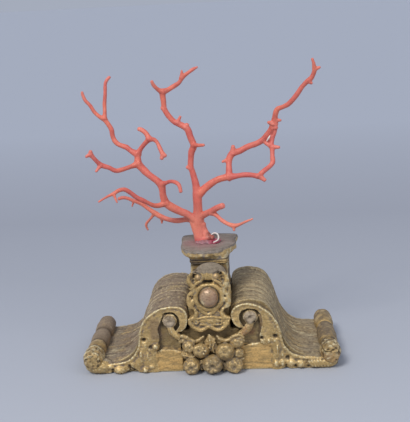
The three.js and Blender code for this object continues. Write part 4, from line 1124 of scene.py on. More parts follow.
def shield_shapes():
    """A fleshy plate with an oval boss in a groove and a wide ring, strapwork down both sides, two
    scrolls under a smooth dome with a few pleats, and a lipped apron with a bar."""
    shapes = [
        slab(SHIELD, SHIELD_FACE, DEEP - 0.5, ease=1.8, step=0.8),
        ball((3.4, -49.2, 102.3), (15.4, 5.8, 11.6)),
        ball((BOSS[0], -53.6, BOSS[1]), (9.3, 6.8, 10.2)),
        ring((1, 79.4), 13, 12.8, -51.9, 2.8),
        line([[-11.8, 105], [-8.2, 106], [-4.8, 104.4], [-4, 100.8], [-5.2, 97.4], [-8.4, 95.6],
              [-11.4, 93.6], [-13.2, 90.2]], -54.5, 1.5),
        line([[12.4, 105.6], [8.8, 106.6], [5.5, 104.8], [4.8, 101.2], [6, 97.9], [9.2, 96.2],
              [12.2, 94.2], [14, 90.8]], -54.5, 1.5),
        ball((LEFT_KNOB[0], -53.8, LEFT_KNOB[1]), (3.2, 3.4, 3.2)),
        ball((RIGHT_KNOB[0], -53.8, RIGHT_KNOB[1]), (3.3, 3.4, 3.3)),
        line([[-17.6, 100], [-15.6, 103.4], [-12.6, 106]], -53.4, 1.6),
        line([[18.2, 100.4], [16.4, 104], [13.4, 106.8]], -53.4, 1.6),
        line([[-17.4, 101], [-18, 96.5], [-15.6, 92.5], [-13, 89.8], [-13, 86.6], [-15.6, 84],
              [-18.4, 80.4], [-18.8, 75], [-17.6, 70.5], [-15, 68.4]], -52.6, 2.5),
        line([[18.3, 101], [19.4, 96.4], [17.8, 92], [15.8, 88.6], [16.8, 84.6], [19.2, 80.6],
              [20.2, 76], [19.4, 71.4], [17, 68.6]], -52.6, 2.6),
        line([[20.4, 95], [21, 88.6], [21, 82]], -51.2, 2),
        ball((-16.2, -52.4, 74), (3.2, 2.6, 4.2)),
        ball((17.4, -52.8, 90.4), (3, 2.8, 3.6)),
        ball((18.4, -52.6, 76.6), (3.2, 2.6, 4.2)),
        ball((-15.4, -52.6, 89.6), (3, 2.6, 3.4)),
        line([[-10.4, 68.4], [-6.2, 64.4], [-1.4, 61.6], [4, 63.2], [10, 68.4]], -52.6, 1.7),
        line([[-13.2, 66.6], [-12.2, 62.4], [-14.2, 58.6], [-17.4, 56.8], [-19.6, 56.6]], -52.6, 2.2),
        line([[14.4, 67], [13, 63], [14.6, 59], [17.8, 57.2], [20.2, 57]], -52.6, 2.2),
        line([[-19.6, 56.4], [-18.6, 52.6], [-16, 48.9], [-12.4, 46.2], [-8.8, 45.2], [-5.2, 46],
              [-1, 48.6], [2.7, 47.6], [6.5, 45.4], [10.4, 45.3], [14.2, 47.7], [17.5, 51.2],
              [19.8, 55.6]], -52.9, 2.1),
        line([[-10, 57.4], [-4, 58.4], [1, 58.6], [6, 58.4], [12, 57.4]], -53.2, 1.5),
        line([[-9, 50.6], [-3, 50.9], [2, 51], [7, 50.8], [12, 50.6]], -53, 1.4),
        ball((BAR[0], -52, BAR[1]), (11.6, 2.8, 4)),
        coil((-12.4, 54), -53, 1.2, 1.1, 3.2, 1.4, 1),
        coil((13.8, 54), -53, 1.9, 1.1, 3.2, 1.4, -1),
    ]
    for x in (-1.6, 0.4, 2.4):
        shapes.append(line([[1.4 * x - 0.2, 105.4], [x, 102], [0.7 * x + 0.2, 98]], -54.4, 1))
    return shapes


def shield_tint(points, tint, from_boss, on_boss, on_dome):
    """The cartouche's tint: a flesh-coloured boss with one painted highlight, in a groove darkened as
    painted shade, a grey dome, painted glints down the right edge and paler balls in the small scrolls."""
    mottled = smoothstep(-0.1, 0.7, rough(points, 4.5, 57))
    flesh = mixed(BOSS_PINK, BOLE_RED, 0.45 * mottled)
    tint = mixed(tint, flesh, 0.85 * on_boss)
    # Painted highlight: one pale streak on the boss's lower left
    boss_highlight = np.exp(-(((points[:, 0] + 5.2 - 0.3 * (75 - points[:, 2])) / 1.3) ** 2))
    boss_highlight = boss_highlight * np.exp(-(((points[:, 2] - 75) / 3) ** 2)) * on_boss
    tint = mixed(tint, PALE_GOLD * 1.15, 0.95 * boss_highlight)
    # Painted shade in the groove round the boss
    groove = np.exp(-(((from_boss - 1.07) / 0.07) ** 2)) * smoothstep(-51, -53, points[:, 1])
    tint = mixed(tint, GRIME_AND_SHADE, 0.6 * groove)
    tint = mixed(tint, DOME_GREY, 0.6 * on_dome)
    # Painted glints down the right edge
    right_edge = smoothstep(13.5, 16, points[:, 0]) * smoothstep(60, 66, points[:, 2])
    glint = right_edge * smoothstep(-52.5, -54, points[:, 1]) * (1 - on_dome)
    glint = glint * smoothstep(-0.3, 0.4, waves(points, 2.6, 58))
    tint = mixed(tint, PALE_GOLD, 0.55 * glint)
    knobs = np.maximum(near_spot(points, *LEFT_KNOB, 3.6), near_spot(points, *RIGHT_KNOB, 3.8))
    return mixed(tint, BOSS_PINK, 0.4 * knobs * smoothstep(-54.6, -56, points[:, 1]))


def shield(material):
    """The cartouche: its shapes grown into one, dented except on the dome and the boss, stippled on
    the bar and pitted in its hollows."""
    surface = grown_together(shield_shapes(), SHIELD_GRAIN)
    surface.points = surface.relaxed(surface.points, 4)
    normals = surface.normals()
    points = surface.points
    on_dome = smoothstep(103.6, 106.4, points[:, 2] + 0.8 * waves(points, 4, 52))
    from_boss = np.hypot(
        (points[:, 0] - BOSS[0]) / BOSS_SIZE[0], (points[:, 2] - BOSS[1]) / BOSS_SIZE[1],
    )
    on_boss = 1 - smoothstep(0.9, 1, from_boss)
    on_bar = smoothstep(3.4, 2.6, np.abs(points[:, 2] - BAR[1]))
    on_bar = on_bar * smoothstep(11, 9.5, np.abs(points[:, 0] - BAR[0]))
    smooth = 1 - 0.75 * np.maximum(on_dome, on_boss)
    dents = (0.34 * rough(points, 2.8, 51) + 0.16 * waves(points, 1.2, 53)) * smooth
    stipple = 0.45 * smoothstep(0.1, 0.7, waves(points, 1.9, 55)) * on_bar
    surface.points = points + normals * (dents - stipple)[:, None]
    holes = pitted(surface, SHIELD_PITS)
    points = surface.points
    points[:, 1] = np.minimum(points[:, 1], DEEP - 0.8)
    gold = 0.62 - 0.75 * on_dome - 0.4 * on_boss + 0.1 * np.clip(-normals[:, 1], 0, 1)
    marks = gilding(surface, gold, GREY_WOOD, 0.85, seed=50)
    tint = shield_tint(points, marks["tint"], from_boss, on_boss, on_dome)
    # Painted shade inside the hollows
    marks["tint"] = mixed(tint, GRIME_AND_SHADE, 0.85 * holes)
    marks["gold"] = np.maximum(marks["gold"], 0.5 * on_boss)
    marks["polish"] = on_boss
    piece("cartouche_carving", points, surface.quads, material, ["cartouche"], marks)


# The end rolls

# Each bead of the rolls: [front, back, fullness, gilding]
LEFT_BEADS = [[ROLL_FRONT, -30, 1.0, 0.75], [-30, -14, 0.93, 0.62], [-14, 18, 0.97, 0.1], [18, 52, 1.0, 0.1]]
RIGHT_BEADS = [[ROLL_FRONT, -30, 1.02, 0.66], [-30, 20, 0.97, 0.4], [20, 52, 1.0, 0.58]]
# How finely a roll is followed: circles along it, circles across each end, and points round it
ROLL_RINGS = 230
FACE_RINGS = 15
ROLL_POINTS = 120


def roll_outline(beads):
    """Places along a roll, each with its bead and swelling: a power of the sine between narrow necks,
    a rounded face on the front knob, and a last bead that stays full to the back."""
    y = np.linspace(ROLL_FRONT, HALF_DEPTH, ROLL_RINGS)
    own = beads[np.clip(np.searchsorted(beads[:, 1], y), 0, len(beads) - 1)]
    part = np.clip((y - own[:, 0]) / (own[:, 1] - own[:, 0]), 0, 1)
    swell = np.sin(math.pi * part) ** 0.38
    knob = y < beads[0, 1]
    swell = np.where(knob & (part < 0.5), 0.1 + 0.9 * np.sqrt(np.clip(part / 0.34, 0, 1)), swell)
    swell = np.where((y > beads[-1, 0]) & (part > 0.5), np.maximum(swell, 0.75), swell)
    return y, own, swell


def to_roll_points(values):
    """One value for each place along a roll, given to all its points and carried onto its ends."""
    ends = np.full(FACE_RINGS, values[0]), np.full(FACE_RINGS, values[-1])
    return np.repeat(np.concatenate([ends[0], values, ends[1]]), ROLL_POINTS)


def roll_lift(points, near_front, side):
    """How far a roll's points stand out, and how much each lies in a hole, for the painted shade there:
    dents everywhere, lumps and pits on the knob, and one wavy crack across the right knob."""
    dents = 0.4 * rough(points, 6, 70 + side) + 0.14 * waves(points, 1.8, 73)
    lumps = 0.7 * waves(points * [1, 0.8, 1], 4.2, 75 + side) + 0.35 * waves(points, 2, 77)
    pits = near_front * smoothstep(0.3, 0.65, waves(points, 2.7, 78 + side))
    lift = np.minimum(dents + near_front * lumps, 0.5) - 0.9 * pits
    crack = np.exp(-(((points[:, 2] - 20 + 0.7 * np.sin(points[:, 0] / 2)) / 0.6) ** 2)) * near_front
    crack = crack * smoothstep(124, 121, points[:, 0]) * smoothstep(106, 109, points[:, 0])
    return lift - 1.6 * crack, np.maximum(pits, crack)


def roll_tint(points, share, lift, near_front, side):
    """A roll's tint: brown wood with worn leaf on it, a painted highlight where it stands out,
    streaked behind the knob, and reddened, with painted glints, and dirty on the knob."""
    bare = LEFT_WOOD if side < 0 else BROWN_WOOD
    tint = mixed(bare, DARK_WOOD, (0.5 + 0.15 * side) * smoothstep(-0.5, 0.7, rough(points, 8, 83)))
    leafed = mixed(DULL_GOLD, LEAF_GOLD, smoothstep(-0.4, 0.5, rough(points, 4, 84)))
    tint = mixed(tint, leafed, 0.85 * share)
    # Painted highlight where the surface stands out
    tint = mixed(tint, PALE_GOLD, share * (0.75 * near_front + 0.25) * smoothstep(0.15, 0.5, lift))
    streak = smoothstep(0.4, 0.8, waves(points * [0.3, 1, 0.3], 2, 86)) * (1 - near_front)
    tint = mixed(tint, PALE_GOLD, 0.3 * streak)
    tint = mixed(tint, BOLE_RED, 0.22 * near_front * smoothstep(20, 17, points[:, 2]) * (side > 0))
    # Painted glints on the upper part of the knob
    glints = smoothstep(0.2, 0.5, waves(points, 2.4, 87)) * smoothstep(10, 24, points[:, 2])
    tint = mixed(tint, PALE_GOLD * 1.1, 0.75 * near_front * glints)
    return mixed(tint, GRIME_AND_SHADE, 0.55 * near_front * smoothstep(0.2, 0.5, waves(points, 2.7, 88)))


def end_roll(name, side, beads, material):
    """A turned roll lying front to back, closed by flat ends, with a ragged face on its knob and
    painted shade in its necks, pits, crack and underside; the right one keeps a gilded ring where
    its last bead begins."""
    beads = np.array(beads)
    y, own, swell = roll_outline(beads)
    reach = ROLL_RADIUS * (0.7 + (own[:, 2] - 0.7) * swell)
    inner = np.linspace(0.01, 1, FACE_RINGS + 1)[:-1]
    turn = np.linspace(0, 2 * math.pi, ROLL_POINTS, endpoint=False)
    radius = np.concatenate([inner * reach[0], reach, inner[::-1] * reach[-1]])
    depth = np.concatenate([np.full(FACE_RINGS, y[0]), y, np.full(FACE_RINGS, y[-1])])
    x = side * ROLL_X + radius[:, None] * np.cos(turn)
    z = ROLL_Z + radius[:, None] * np.sin(turn)
    points = np.stack([x, np.broadcast_to(depth[:, None], x.shape), z], axis=-1)
    flat = points.reshape(-1, 3)
    outward = np.stack([np.cos(turn), 0 * turn, np.sin(turn)], axis=-1)
    outward = np.broadcast_to(outward, points.shape).reshape(-1, 3).copy()
    on_face = np.repeat(depth < ROLL_FRONT + 0.5, ROLL_POINTS)
    outward[on_face] = outward[on_face] * 0.3 + np.array([0, -0.9, 0])
    near_front = smoothstep(-29, -33, flat[:, 1])
    lift, holes = roll_lift(flat, near_front, side)
    flat = flat + outward * lift[:, None]
    flat[:, 1] = np.maximum(flat[:, 1], ROLL_FRONT - 0.4)
    shape = skin(flat.reshape(points.shape))

    gold = to_roll_points(own[:, 3]) + 0.28 * smoothstep(0.1, 0.6, waves(flat, 8, 79 + side))
    share = smoothstep(0.35, 0.75, gold + 0.35 * rough(flat, 3, 81))
    necks = to_roll_points(smoothstep(0.85, 0.3, swell) * (y > ROLL_FRONT + 6))
    ringed = np.exp(-(((flat[:, 1] - beads[-1, 0]) / 2.4) ** 2)) * (side > 0)
    # Painted shade in the necks, the pits and the crack, and along the underside near the floor
    dark = 0.7 * necks * (1 - ringed) + 0.85 * holes + 0.45 * smoothstep(9, 2, flat[:, 2])
    tint = mixed(roll_tint(flat, share, lift, near_front, side), LEAF_GOLD, 0.75 * ringed)
    tint = mixed(tint, GRIME_AND_SHADE, np.clip(dark, 0, 0.9))
    marks = {"tint": tint, "gold": share * (1 - np.clip(dark, 0, 1))}
    piece(name + "_turning", shape[0], shape[1], material, [name], marks)


# The cap

# The cap's broken plan, clockwise from above and from its back left corner: [x, y], and its middle
CAP_PLAN = [
    [-23, 26.5], [26.3, 26], [28, 8], [29, -9], [23.5, -21.5], [13.5, -32], [2, -37],
    [-11, -37], [-19.3, -34], [-25.8, -21], [-26.8, 0],
]
CAP_CENTRE = [1.7, -3.5]
# How the cap's side steps in towards the neck: [height, share of the plan, share of the neck's square]
CAP_SIDE = [
    [CAP_BOTTOM, 0.02, 0], [CAP_BOTTOM, 0.96, 1], [108.4, 0.99, 1], [109.4, 1.02, 1], [110.6, 1.02, 0.97],
    [111.8, 0.99, 0.8], [113, 0.98, 0.55], [114.2, 0.985, 0.3], [115.4, 0.995, 0.12], [116.6, 1.0, 0.03],
    [118, 1.0, 0], [120, 1.0, 0], [121.2, 0.99, 0], [121.8, 0.97, 0], [CAP_TOP, 0.94, 0],
    [CAP_TOP - 0.3, 0.5, 0], [CAP_TOP, 0.02, 0],
]
# The shares are followed at about the cap's own size, so that they count as much as the height
SHARE_SIZE = 30


def square_reach(along, left, right, front, back):
    """The place where a direction from the cap's centre meets a rectangle."""
    x_side = np.where(along[:, 0] > 0, right - CAP_CENTRE[0], CAP_CENTRE[0] - left)
    y_side = np.where(along[:, 1] > 0, back - CAP_CENTRE[1], CAP_CENTRE[1] - front)
    across = np.abs(along[:, 0]) / x_side
    down = np.abs(along[:, 1]) / y_side
    return along / ((across**7 + down**7) ** (1 / 7))[:, None]


def cap_levels(plan):
    """The cap's points, and each level's share of the plan and height: each level is a mix of the
    plan with the neck's rounded rectangle, made smaller by its share."""
    along = plan / np.linalg.norm(plan, axis=1)[:, None]
    neck = square_reach(along, NECK_LEFT - 0.8, NECK_RIGHT + 0.8, NECK_FRONT - 2.4, 24)
    side = through(np.array(CAP_SIDE) * [1, SHARE_SIZE, SHARE_SIZE], 0.4)
    height = np.clip(side[:, 0], CAP_BOTTOM, CAP_TOP)
    share = np.clip(side[:, 1] / SHARE_SIZE, 0.01, 1.02)
    squared = np.clip(side[:, 2] / SHARE_SIZE, 0, 1)[:, None, None]
    place = (plan[None] * (1 - squared) + neck[None] * squared) * share[:, None, None] + CAP_CENTRE
    levels = np.broadcast_to(height[:, None, None], place.shape[:2] + (1,))
    return np.concatenate([place, levels], axis=-1), share, height


def cap_marks(points, topside):
    """The cap's marks: grey wood with grain on top, stained round the wax, leaf left on the lip and
    the corners, and streaks of it on the neck below."""
    grain = waves(points * [0.06, 1, 0.5], 1.3, 97)
    tint = mixed(CAP_GREY, DARK_WOOD, 0.45 * smoothstep(-0.4, 0.8, rough(points, 7, 98)))
    tint = tint * (1 + 0.14 * grain * topside)[:, None]
    from_wax = np.hypot(points[:, 0] + 5, points[:, 1] + 4)
    stain = smoothstep(30, 8, from_wax + 7 * rough(points, 6, 99)) * topside
    tint = mixed(tint, WAX_STAIN, 0.45 * stain)
    ahead = smoothstep(-18, -26, points[:, 1])
    lip = smoothstep(119.8, 118.2, points[:, 2] + 0.8 * rough(points, 4, 100))
    lip = lip * smoothstep(111.4, 113, points[:, 2]) * (0.4 + 0.6 * ahead)
    corner = smoothstep(12, 19, np.abs(points[:, 0] - CAP_CENTRE[0])) * smoothstep(121.6, 119, points[:, 2])
    leafed = 0.55 * lip + 0.75 * corner * (0.4 + 0.6 * (points[:, 0] > 0)) + 0.5 * rough(points, 3, 101)
    gold = smoothstep(0.3, 0.6, leafed) * smoothstep(1, 0.4, topside)
    bright = smoothstep(0.1, 0.6, waves(points, 2.6, 102))
    tint = mixed(tint, mixed(LEAF_GOLD, PALE_GOLD, 0.8 * bright), 0.85 * gold)
    below = smoothstep(112.6, 111.4, points[:, 2])
    streaked = smoothstep(0.0, 0.6, waves(points * [0.12, 0.12, 1], 1.8, 103))
    tint = mixed(tint, mixed(GRIME_AND_SHADE * 1.3, LEAF_GOLD, 0.9 * streaked), 0.85 * below)
    return {"tint": tint, "gold": np.clip(gold + 0.3 * below, 0, 1)}


def cap(material):
    """The cap: a hollow side that opens from the neck to the broken plan of the top, chipped along
    its lip, brushed below and uneven on top."""
    plan = through(CAP_PLAN, 0.8, closed=True) - CAP_CENTRE
    points, share, height = cap_levels(plan)
    flat = points.reshape(-1, 3).copy()
    away = flat[:, :2] - CAP_CENTRE
    outward = away / np.maximum(np.linalg.norm(away, axis=1), 1)[:, None]
    spread = np.repeat(share, len(plan))
    tall = np.repeat(height, len(plan))
    on_side = smoothstep(0.5, 0.8, spread) * smoothstep(CAP_TOP - 0.2, CAP_TOP - 1.4, tall)
    rim = smoothstep(114, 117, tall)
    chips = (0.5 + 0.9 * rim) * rough(flat, 6, 91) + 0.4 * waves(flat, 2.4, 93)
    brushed = 0.5 * waves(flat * [0.12, 0.2, 1], 2.2, 94) * smoothstep(115, 112, tall)
    flat[:, :2] += outward * (np.minimum(chips + brushed, 0.25) * on_side)[:, None]
    topside = smoothstep(CAP_TOP - 1, CAP_TOP - 0.1, tall)
    flat[:, 2] += topside * np.minimum(0.4 * rough(flat * [0.4, 1, 1], 3.6, 95) - 0.2, 0)
    flat[:, 2] += 1.3 * rim * (1 - topside) * np.clip(waves(flat * [1, 1, 0], 5, 96), -1, 0.2)
    shape = skin(flat.reshape(points.shape))
    marks = cap_marks(flat, topside)
    piece("pedestal_cap_moulding", shape[0], shape[1], material, ["pedestal_cap"], marks)


# The wax, the wire and the old repair

WAX_MIDDLE = (0.5, -3.5, 122.4)
WAX_SIZE = (13, 9.5, 2.6)


def wax(material):
    """A low uneven dome of wax: an ellipsoid raised and sunk by waves, cut off at the cap and kept
    near the box of its solid; it is deepest in colour on the right."""
    points, faces = ball(WAX_MIDDLE, WAX_SIZE, rows=70, sides=110)
    away = points - WAX_MIDDLE
    reach = 1 + 0.16 * waves(away * [1, 1, 0], 4.5, 111)
    points = WAX_MIDDLE + away * np.column_stack([reach, reach, np.ones(len(reach))])
    points[:, 2] += 0.7 * waves(points * [1, 1, 0.2], 2.4, 113) * smoothstep(122, 123, points[:, 2])
    points[:, 2] = np.maximum(points[:, 2], CAP_TOP - 0.6)
    low, high = (np.array(corner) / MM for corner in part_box("wax_bed"))
    points[:, :2] = np.clip(points[:, :2], low[:2] - 0.4, high[:2] + 0.4)
    deep = smoothstep(-1, 7, points[:, 0] + 1.5 * waves(points, 3, 115))
    piece("wax_setting", points, faces, material, ["wax_bed"], {"deep": deep})


# The wire's centreline: [x, y, z, radius]
WIRE = [
    [3.8, -4.5, 128.9, 0.66], [5.2, -4.6, 130.4, 0.7], [7.8, -5, 131.3, 0.75], [10.4, -5.5, 130.2, 0.8],
    [11.5, -6.3, 127.4, 0.85], [10.8, -7.8, 124.8, 0.85], [8.8, -9.4, 123.8, 0.8],
    [6.6, -10.6, 123.2, 0.75],
]
# The old repair's centreline, the same way
REPAIR = [[64, 4.9, 222.2, 0.5], [65.7, 4.5, 224.9, 0.9], [67.3, 4.5, 227.4, 0.5]]


def wire(material):
    """A short stiff loop of white wire."""
    points, faces = tube(WIRE, step=0.4, sides=16)
    piece("white_wire", points, faces, material, ["wire_loop"], {})


def repair(material):
    """A small pale fillet of old glue in the crook of the right branch."""
    points, faces = tube(REPAIR, step=0.3)
    piece("old_repair", points, faces, material, [], {})


# Materials

class Finish:
    """A material made node by node: add() makes a node and joins or sets its inputs."""

    def __init__(self, name):
        self.material = bpy.data.materials.new(name)
        self.material.use_nodes = True
        self.tree = self.material.node_tree
        self.shader = self.tree.nodes["Principled BSDF"]

    def add(self, kind, inputs=(), **settings):
        """A new node with its inputs put in and its settings set."""
        made = self.tree.nodes.new(kind)
        for setting, value in settings.items():
            setattr(made, setting, value)
        for socket, value in dict(inputs).items():
            self.put(made.inputs[socket], value)
        return made

    def put(self, socket, value):
        """Joins a socket to another one, or sets it to a plain value."""
        if isinstance(value, bpy.types.NodeSocket):
            self.tree.links.new(value, socket)
        else:
            socket.default_value = value

    def mark(self, name, output="Fac"):
        """What is kept under a name on the points."""
        return self.add("ShaderNodeAttribute", attribute_name=name).outputs[output]

    def place(self):
        """The place on the object, in metres."""
        return self.add("ShaderNodeTexCoord").outputs["Object"]

    def noise(self, where, scale, detail=3, roughness=0.55):
        """Cloudy grey, with about scale clouds in each unit of where."""
        made = self.add("ShaderNodeTexNoise", {
            "Vector": where, "Scale": scale, "Detail": detail, "Roughness": roughness,
        })
        return made.outputs["Fac"]

    def ramp(self, value, stops):
        """A curve of grey by value: stops are (place, level)."""
        made = self.add("ShaderNodeValToRGB", {"Fac": value})
        steps = made.color_ramp.elements
        steps[0].position, steps[0].color = stops[0][0], (stops[0][1],) * 3 + (1,)
        steps[1].position, steps[1].color = stops[-1][0], (stops[-1][1],) * 3 + (1,)
        for at, level in stops[1:-1]:
            steps.new(at).color = (level,) * 3 + (1,)
        return made.outputs["Color"]

    def blend(self, share, under, over):
        """One colour laid over another by a share from 0 to 1."""
        made = self.add("ShaderNodeMix", data_type="RGBA", blend_type="MIX")
        for socket, value in zip((made.inputs[0], made.inputs[6], made.inputs[7]), (share, under, over)):
            self.put(socket, value)
        return made.outputs[2]

    def sum(self, kind, first, second):
        """Two values added, subtracted or multiplied."""
        made = self.add("ShaderNodeMath", operation=kind)
        self.put(made.inputs[0], first)
        self.put(made.inputs[1], second)
        return made.outputs[0]

    def bump(self, height, distance, strength):
        """Makes the light fall as if the surface rose by height times distance."""
        made = self.add("ShaderNodeBump", {"Height": height, "Distance": distance, "Strength": strength})
        self.put(self.shader.inputs["Normal"], made.outputs["Normal"])


def coral_finish():
    """Satin red coral with fine lengthwise ribs, warmer and paler on the trunk and towards the tips,
    and darker in the crooks as painted shade."""
    finish = Finish("red_coral")
    place = finish.place()
    grain = finish.mark("grain", "Vector")
    cloud = finish.ramp(finish.noise(place, 90, 4), [(0.35, 0), (0.65, 1)])
    ribs = finish.noise(finish.add("ShaderNodeVectorMath", {0: grain, 1: (9, 9, 9)}, operation="MULTIPLY")
                        .outputs["Vector"], 1, 4, 0.6)
    colour = finish.blend(cloud, (0.52, 0.082, 0.062, 1), (0.80, 0.185, 0.112, 1))
    colour = finish.blend(finish.ramp(ribs, [(0.35, 0), (0.68, 0.6)]), colour, (0.88, 0.29, 0.19, 1))
    patch = finish.ramp(finish.noise(place, 30, 3), [(0.45, 0), (0.62, 0.5)])
    colour = finish.blend(patch, colour, (0.60, 0.10, 0.105, 1))
    # The hollow mark darkens the crooks as painted shade; the others are the coral's own colours
    for name, share, over in (
        ("tip", 0.55, (0.86, 0.26, 0.19, 1)), ("trunk", 0.4, (0.90, 0.32, 0.21, 1)),
        ("hollow", 0.5, (0.40, 0.045, 0.04, 1)), ("foot", 0.6, (0.62, 0.07, 0.10, 1)),
        ("knob", 0.85, (0.15, 0.035, 0.03, 1)),
    ):
        colour = finish.blend(finish.sum("MULTIPLY", finish.mark(name), share), colour, over)
    specks = finish.ramp(finish.noise(place, 900, 2), [(0.62, 0), (0.72, 0.35)])
    colour = finish.blend(specks, colour, (0.45, 0.06, 0.05, 1))
    finish.put(finish.shader.inputs["Base Color"], colour)
    finish.put(finish.shader.inputs["Roughness"], finish.ramp(cloud, [(0, 0.52), (1, 0.4)]))
    finish.shader.inputs["Subsurface Weight"].default_value = 0.12
    finish.shader.inputs["Subsurface Radius"].default_value = (1, 0.35, 0.25)
    finish.shader.inputs["Subsurface Scale"].default_value = 0.0015
    pits = finish.sum("MULTIPLY", finish.noise(place, 700, 2), 0.35)
    finish.bump(finish.sum("ADD", ribs, pits), 0.0004, 0.6)
    return finish.material


def worn_finish(name, shine):
    """Old wood and gilding: the tint kept on the points, broken up by fine noise and fibres, shinier
    where gold is left."""
    finish = Finish(name)
    place = finish.place()
    tint = finish.mark("tint", "Color")
    gold = finish.mark("gold")
    speck = finish.noise(place, 650, 4, 0.65)
    fibre = finish.add("ShaderNodeMapping", {"Vector": place, "Scale": (90, 700, 700)}).outputs["Vector"]
    fibres = finish.noise(fibre, 1, 4, 0.6)
    colour = finish.blend(finish.ramp(speck, [(0.36, 0.32), (0.5, 0)]), tint, (0.06, 0.045, 0.022, 1))
    colour = finish.blend(finish.ramp(speck, [(0.56, 0), (0.72, 0.24)]), colour, (0.55, 0.44, 0.25, 1))
    colour = finish.blend(finish.ramp(fibres, [(0.32, 0.35), (0.5, 0)]), colour, (0.09, 0.065, 0.04, 1))
    crackle = finish.add("ShaderNodeTexVoronoi", {"Vector": place, "Scale": 330}, feature="DISTANCE_TO_EDGE")
    cracks = finish.ramp(crackle.outputs["Distance"], [(0.0, 0.4), (0.035, 0)])
    cracks = finish.sum("MULTIPLY", cracks, finish.ramp(finish.noise(place, 60, 2), [(0.5, 0), (0.6, 1)]))
    colour = finish.blend(cracks, colour, (0.05, 0.035, 0.02, 1))
    finish.put(finish.shader.inputs["Base Color"], colour)
    finish.put(finish.shader.inputs["Metallic"], finish.sum("MULTIPLY", gold, shine))
    polished = finish.sum("ADD", finish.sum("MULTIPLY", gold, 0.6), finish.mark("polish"))
    finish.put(finish.shader.inputs["Roughness"], finish.ramp(polished, [(0, 0.74), (0.6, 0.44), (1, 0.24)]))
    height = finish.sum("ADD", speck, finish.sum("MULTIPLY", fibres, 0.6))
    finish.bump(finish.sum("SUBTRACT", height, cracks), 0.0005, 0.55)
    return finish.material


def wax_finish():
    """Magenta sealing wax, darker in its folds."""
    finish = Finish("red_wax")
    place = finish.place()
    cloud = finish.noise(place, 260, 4, 0.6)
    folds = finish.ramp(cloud, [(0.38, 0), (0.62, 1)])
    thin = finish.blend(folds, (0.25, 0.13, 0.14, 1), (0.42, 0.22, 0.24, 1))
    thick = finish.blend(folds, (0.16, 0.012, 0.03, 1), (0.58, 0.09, 0.16, 1))
    finish.put(finish.shader.inputs["Base Color"], finish.blend(finish.mark("deep"), thin, thick))
    finish.shader.inputs["Roughness"].default_value = 0.35
    finish.shader.inputs["Subsurface Weight"].default_value = 0.1
    finish.shader.inputs["Subsurface Scale"].default_value = 0.001
    finish.bump(cloud, 0.0008, 0.6)
    return finish.material


def wire_finish():
    """White coated wire, slightly soiled."""
    finish = Finish("white_coating")
    place = finish.place()
    soil = finish.noise(place, 500, 3)
    soiled = finish.ramp(soil, [(0.45, 0), (0.75, 0.7)])
    colour = finish.blend(soiled, (0.84, 0.78, 0.72, 1), (0.5, 0.38, 0.33, 1))
    finish.put(finish.shader.inputs["Base Color"], colour)
    finish.shader.inputs["Roughness"].default_value = 0.45
    finish.bump(soil, 0.0001, 0.4)
    return finish.material


# The room: floor, light and camera

def sun(name, towards, strength, spread, colour):
    """Even light from a direction, as soft as a lit patch of sky that many degrees across."""
    lamp = bpy.data.lights.new(name, "SUN")
    lamp.energy = strength
    lamp.angle = math.radians(spread)
    lamp.color = colour
    made = bpy.data.objects.new(name, lamp)
    bpy.context.scene.collection.objects.link(made)
    back = np.array(towards, float)
    back = back / np.linalg.norm(back)
    right = np.cross((0, 0, 1), back)
    right = right / np.linalg.norm(right)
    made.matrix_world = Matrix((right, np.cross(back, right), back)).transposed().to_4x4()


def floor_finish():
    """Pale blue-grey paper with painted light falloff: a little darker behind the stand and lighter in front
    of it.
    """
    finish = Finish("paper_floor")
    place = finish.place()
    apart = finish.add("ShaderNodeSeparateXYZ", {"Vector": place})
    share = finish.add("ShaderNodeMapRange", {
        "Value": apart.outputs["Y"], "From Min": -0.25, "From Max": 1.6,
    })
    made = finish.add("ShaderNodeValToRGB", {"Fac": share.outputs["Result"]})
    steps = made.color_ramp.elements
    steps[0].position, steps[0].color = 0, (*paint(186, 190, 199), 1)
    steps[1].position, steps[1].color = 1, (*paint(168, 174, 187), 1)
    steps.new(0.28).color = (*paint(163, 167, 177), 1)
    steps.new(0.45).color = (*paint(155, 159, 170), 1)
    finish.put(finish.shader.inputs["Base Color"], made.outputs["Color"])
    finish.shader.inputs["Roughness"].default_value = 0.9
    finish.shader.inputs["Specular IOR Level"].default_value = 0.1
    return finish.material


# Half the floor's width, in metres
FLOOR_REACH = 60


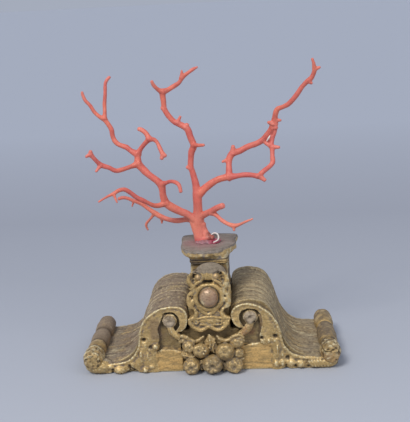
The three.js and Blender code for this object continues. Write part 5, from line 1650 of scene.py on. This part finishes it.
def studio():
    """A wide pale floor under soft even light from above, in front and to the left."""
    corners = [(x * FLOOR_REACH, y * FLOOR_REACH, 0) for x, y in ((-1, -1), (1, -1), (1, 1), (-1, 1))]
    mesh = bpy.data.meshes.new("floor")
    mesh.from_pydata(corners, [], [(0, 1, 2, 3)])
    mesh.materials.append(floor_finish())
    floor = bpy.data.objects.new("floor", mesh)
    bpy.context.scene.collection.objects.link(floor)
    world = bpy.data.worlds.new("studio")
    bpy.context.scene.world = world
    world.use_nodes = True
    background = world.node_tree.nodes["Background"]
    background.inputs["Color"].default_value = (*paint(165, 172, 187), 1)
    background.inputs["Strength"].default_value = 1.0
    sun("key", (-0.45, -0.75, 1.0), 2.05, 22, (1, 0.98, 0.94))
    sun("fill", (0.8, -0.8, 0.7), 0.45, 40, (1, 0.99, 0.97))
    bpy.context.scene.view_settings.view_transform = "Standard"


# Where the front view is taken from, how it is turned, and the lens and its picture's width
CAMERA_PLACE = (46.14, -871.25, 365.96)
CAMERA_TURN = math.radians(-3.12)
CAMERA_TILT = math.radians(13.68)
CAMERA_ROLL = math.radians(-2.92)
CAMERA_LENS = 75.07
PICTURE_WIDTH = 36


def camera():
    """The front view: turned from +Y, tilted down, then rolled."""
    right = np.array([math.cos(CAMERA_TURN), -math.sin(CAMERA_TURN), 0])
    level = np.array([math.sin(CAMERA_TURN), math.cos(CAMERA_TURN), 0])
    up = np.array([0, 0, 1])
    ahead = level * math.cos(CAMERA_TILT) - up * math.sin(CAMERA_TILT)
    above = up * math.cos(CAMERA_TILT) + level * math.sin(CAMERA_TILT)
    rolled_right = right * math.cos(CAMERA_ROLL) + above * math.sin(CAMERA_ROLL)
    rolled_above = above * math.cos(CAMERA_ROLL) - right * math.sin(CAMERA_ROLL)
    lens = bpy.data.cameras.new("camera")
    lens.lens = CAMERA_LENS
    lens.sensor_width = PICTURE_WIDTH
    made = bpy.data.objects.new("camera", lens)
    bpy.context.scene.collection.objects.link(made)
    turned = Matrix((rolled_right, rolled_above, -ahead)).transposed().to_4x4()
    made.matrix_world = Matrix.Translation(np.array(CAMERA_PLACE) * MM) @ turned
    bpy.context.scene.camera = made


# The pieces, one after another, then the room
GILT = worn_finish("worn_gilding", 0.45)
WOOD = worn_finish("worn_wood", 0.35)
WHITE = wire_finish()
coral(coral_finish())
scroll("left_scroll", LEFT_PROFILE, left_front(), LEFT_PANEL_PAINT, LEFT_EYE, LEFT_PITS, -1, GILT)
scroll("right_scroll", RIGHT_PROFILE, right_front(), RIGHT_PANEL_PAINT, RIGHT_EYE, RIGHT_PITS, 1, GILT)
centre(GILT)
bunch(GILT)
shield(GILT)
end_roll("left_end_roll", -1, LEFT_BEADS, WOOD)
end_roll("right_end_roll", 1, RIGHT_BEADS, WOOD)
cap(WOOD)
wax(wax_finish())
wire(WHITE)
repair(WHITE)
studio()
camera()
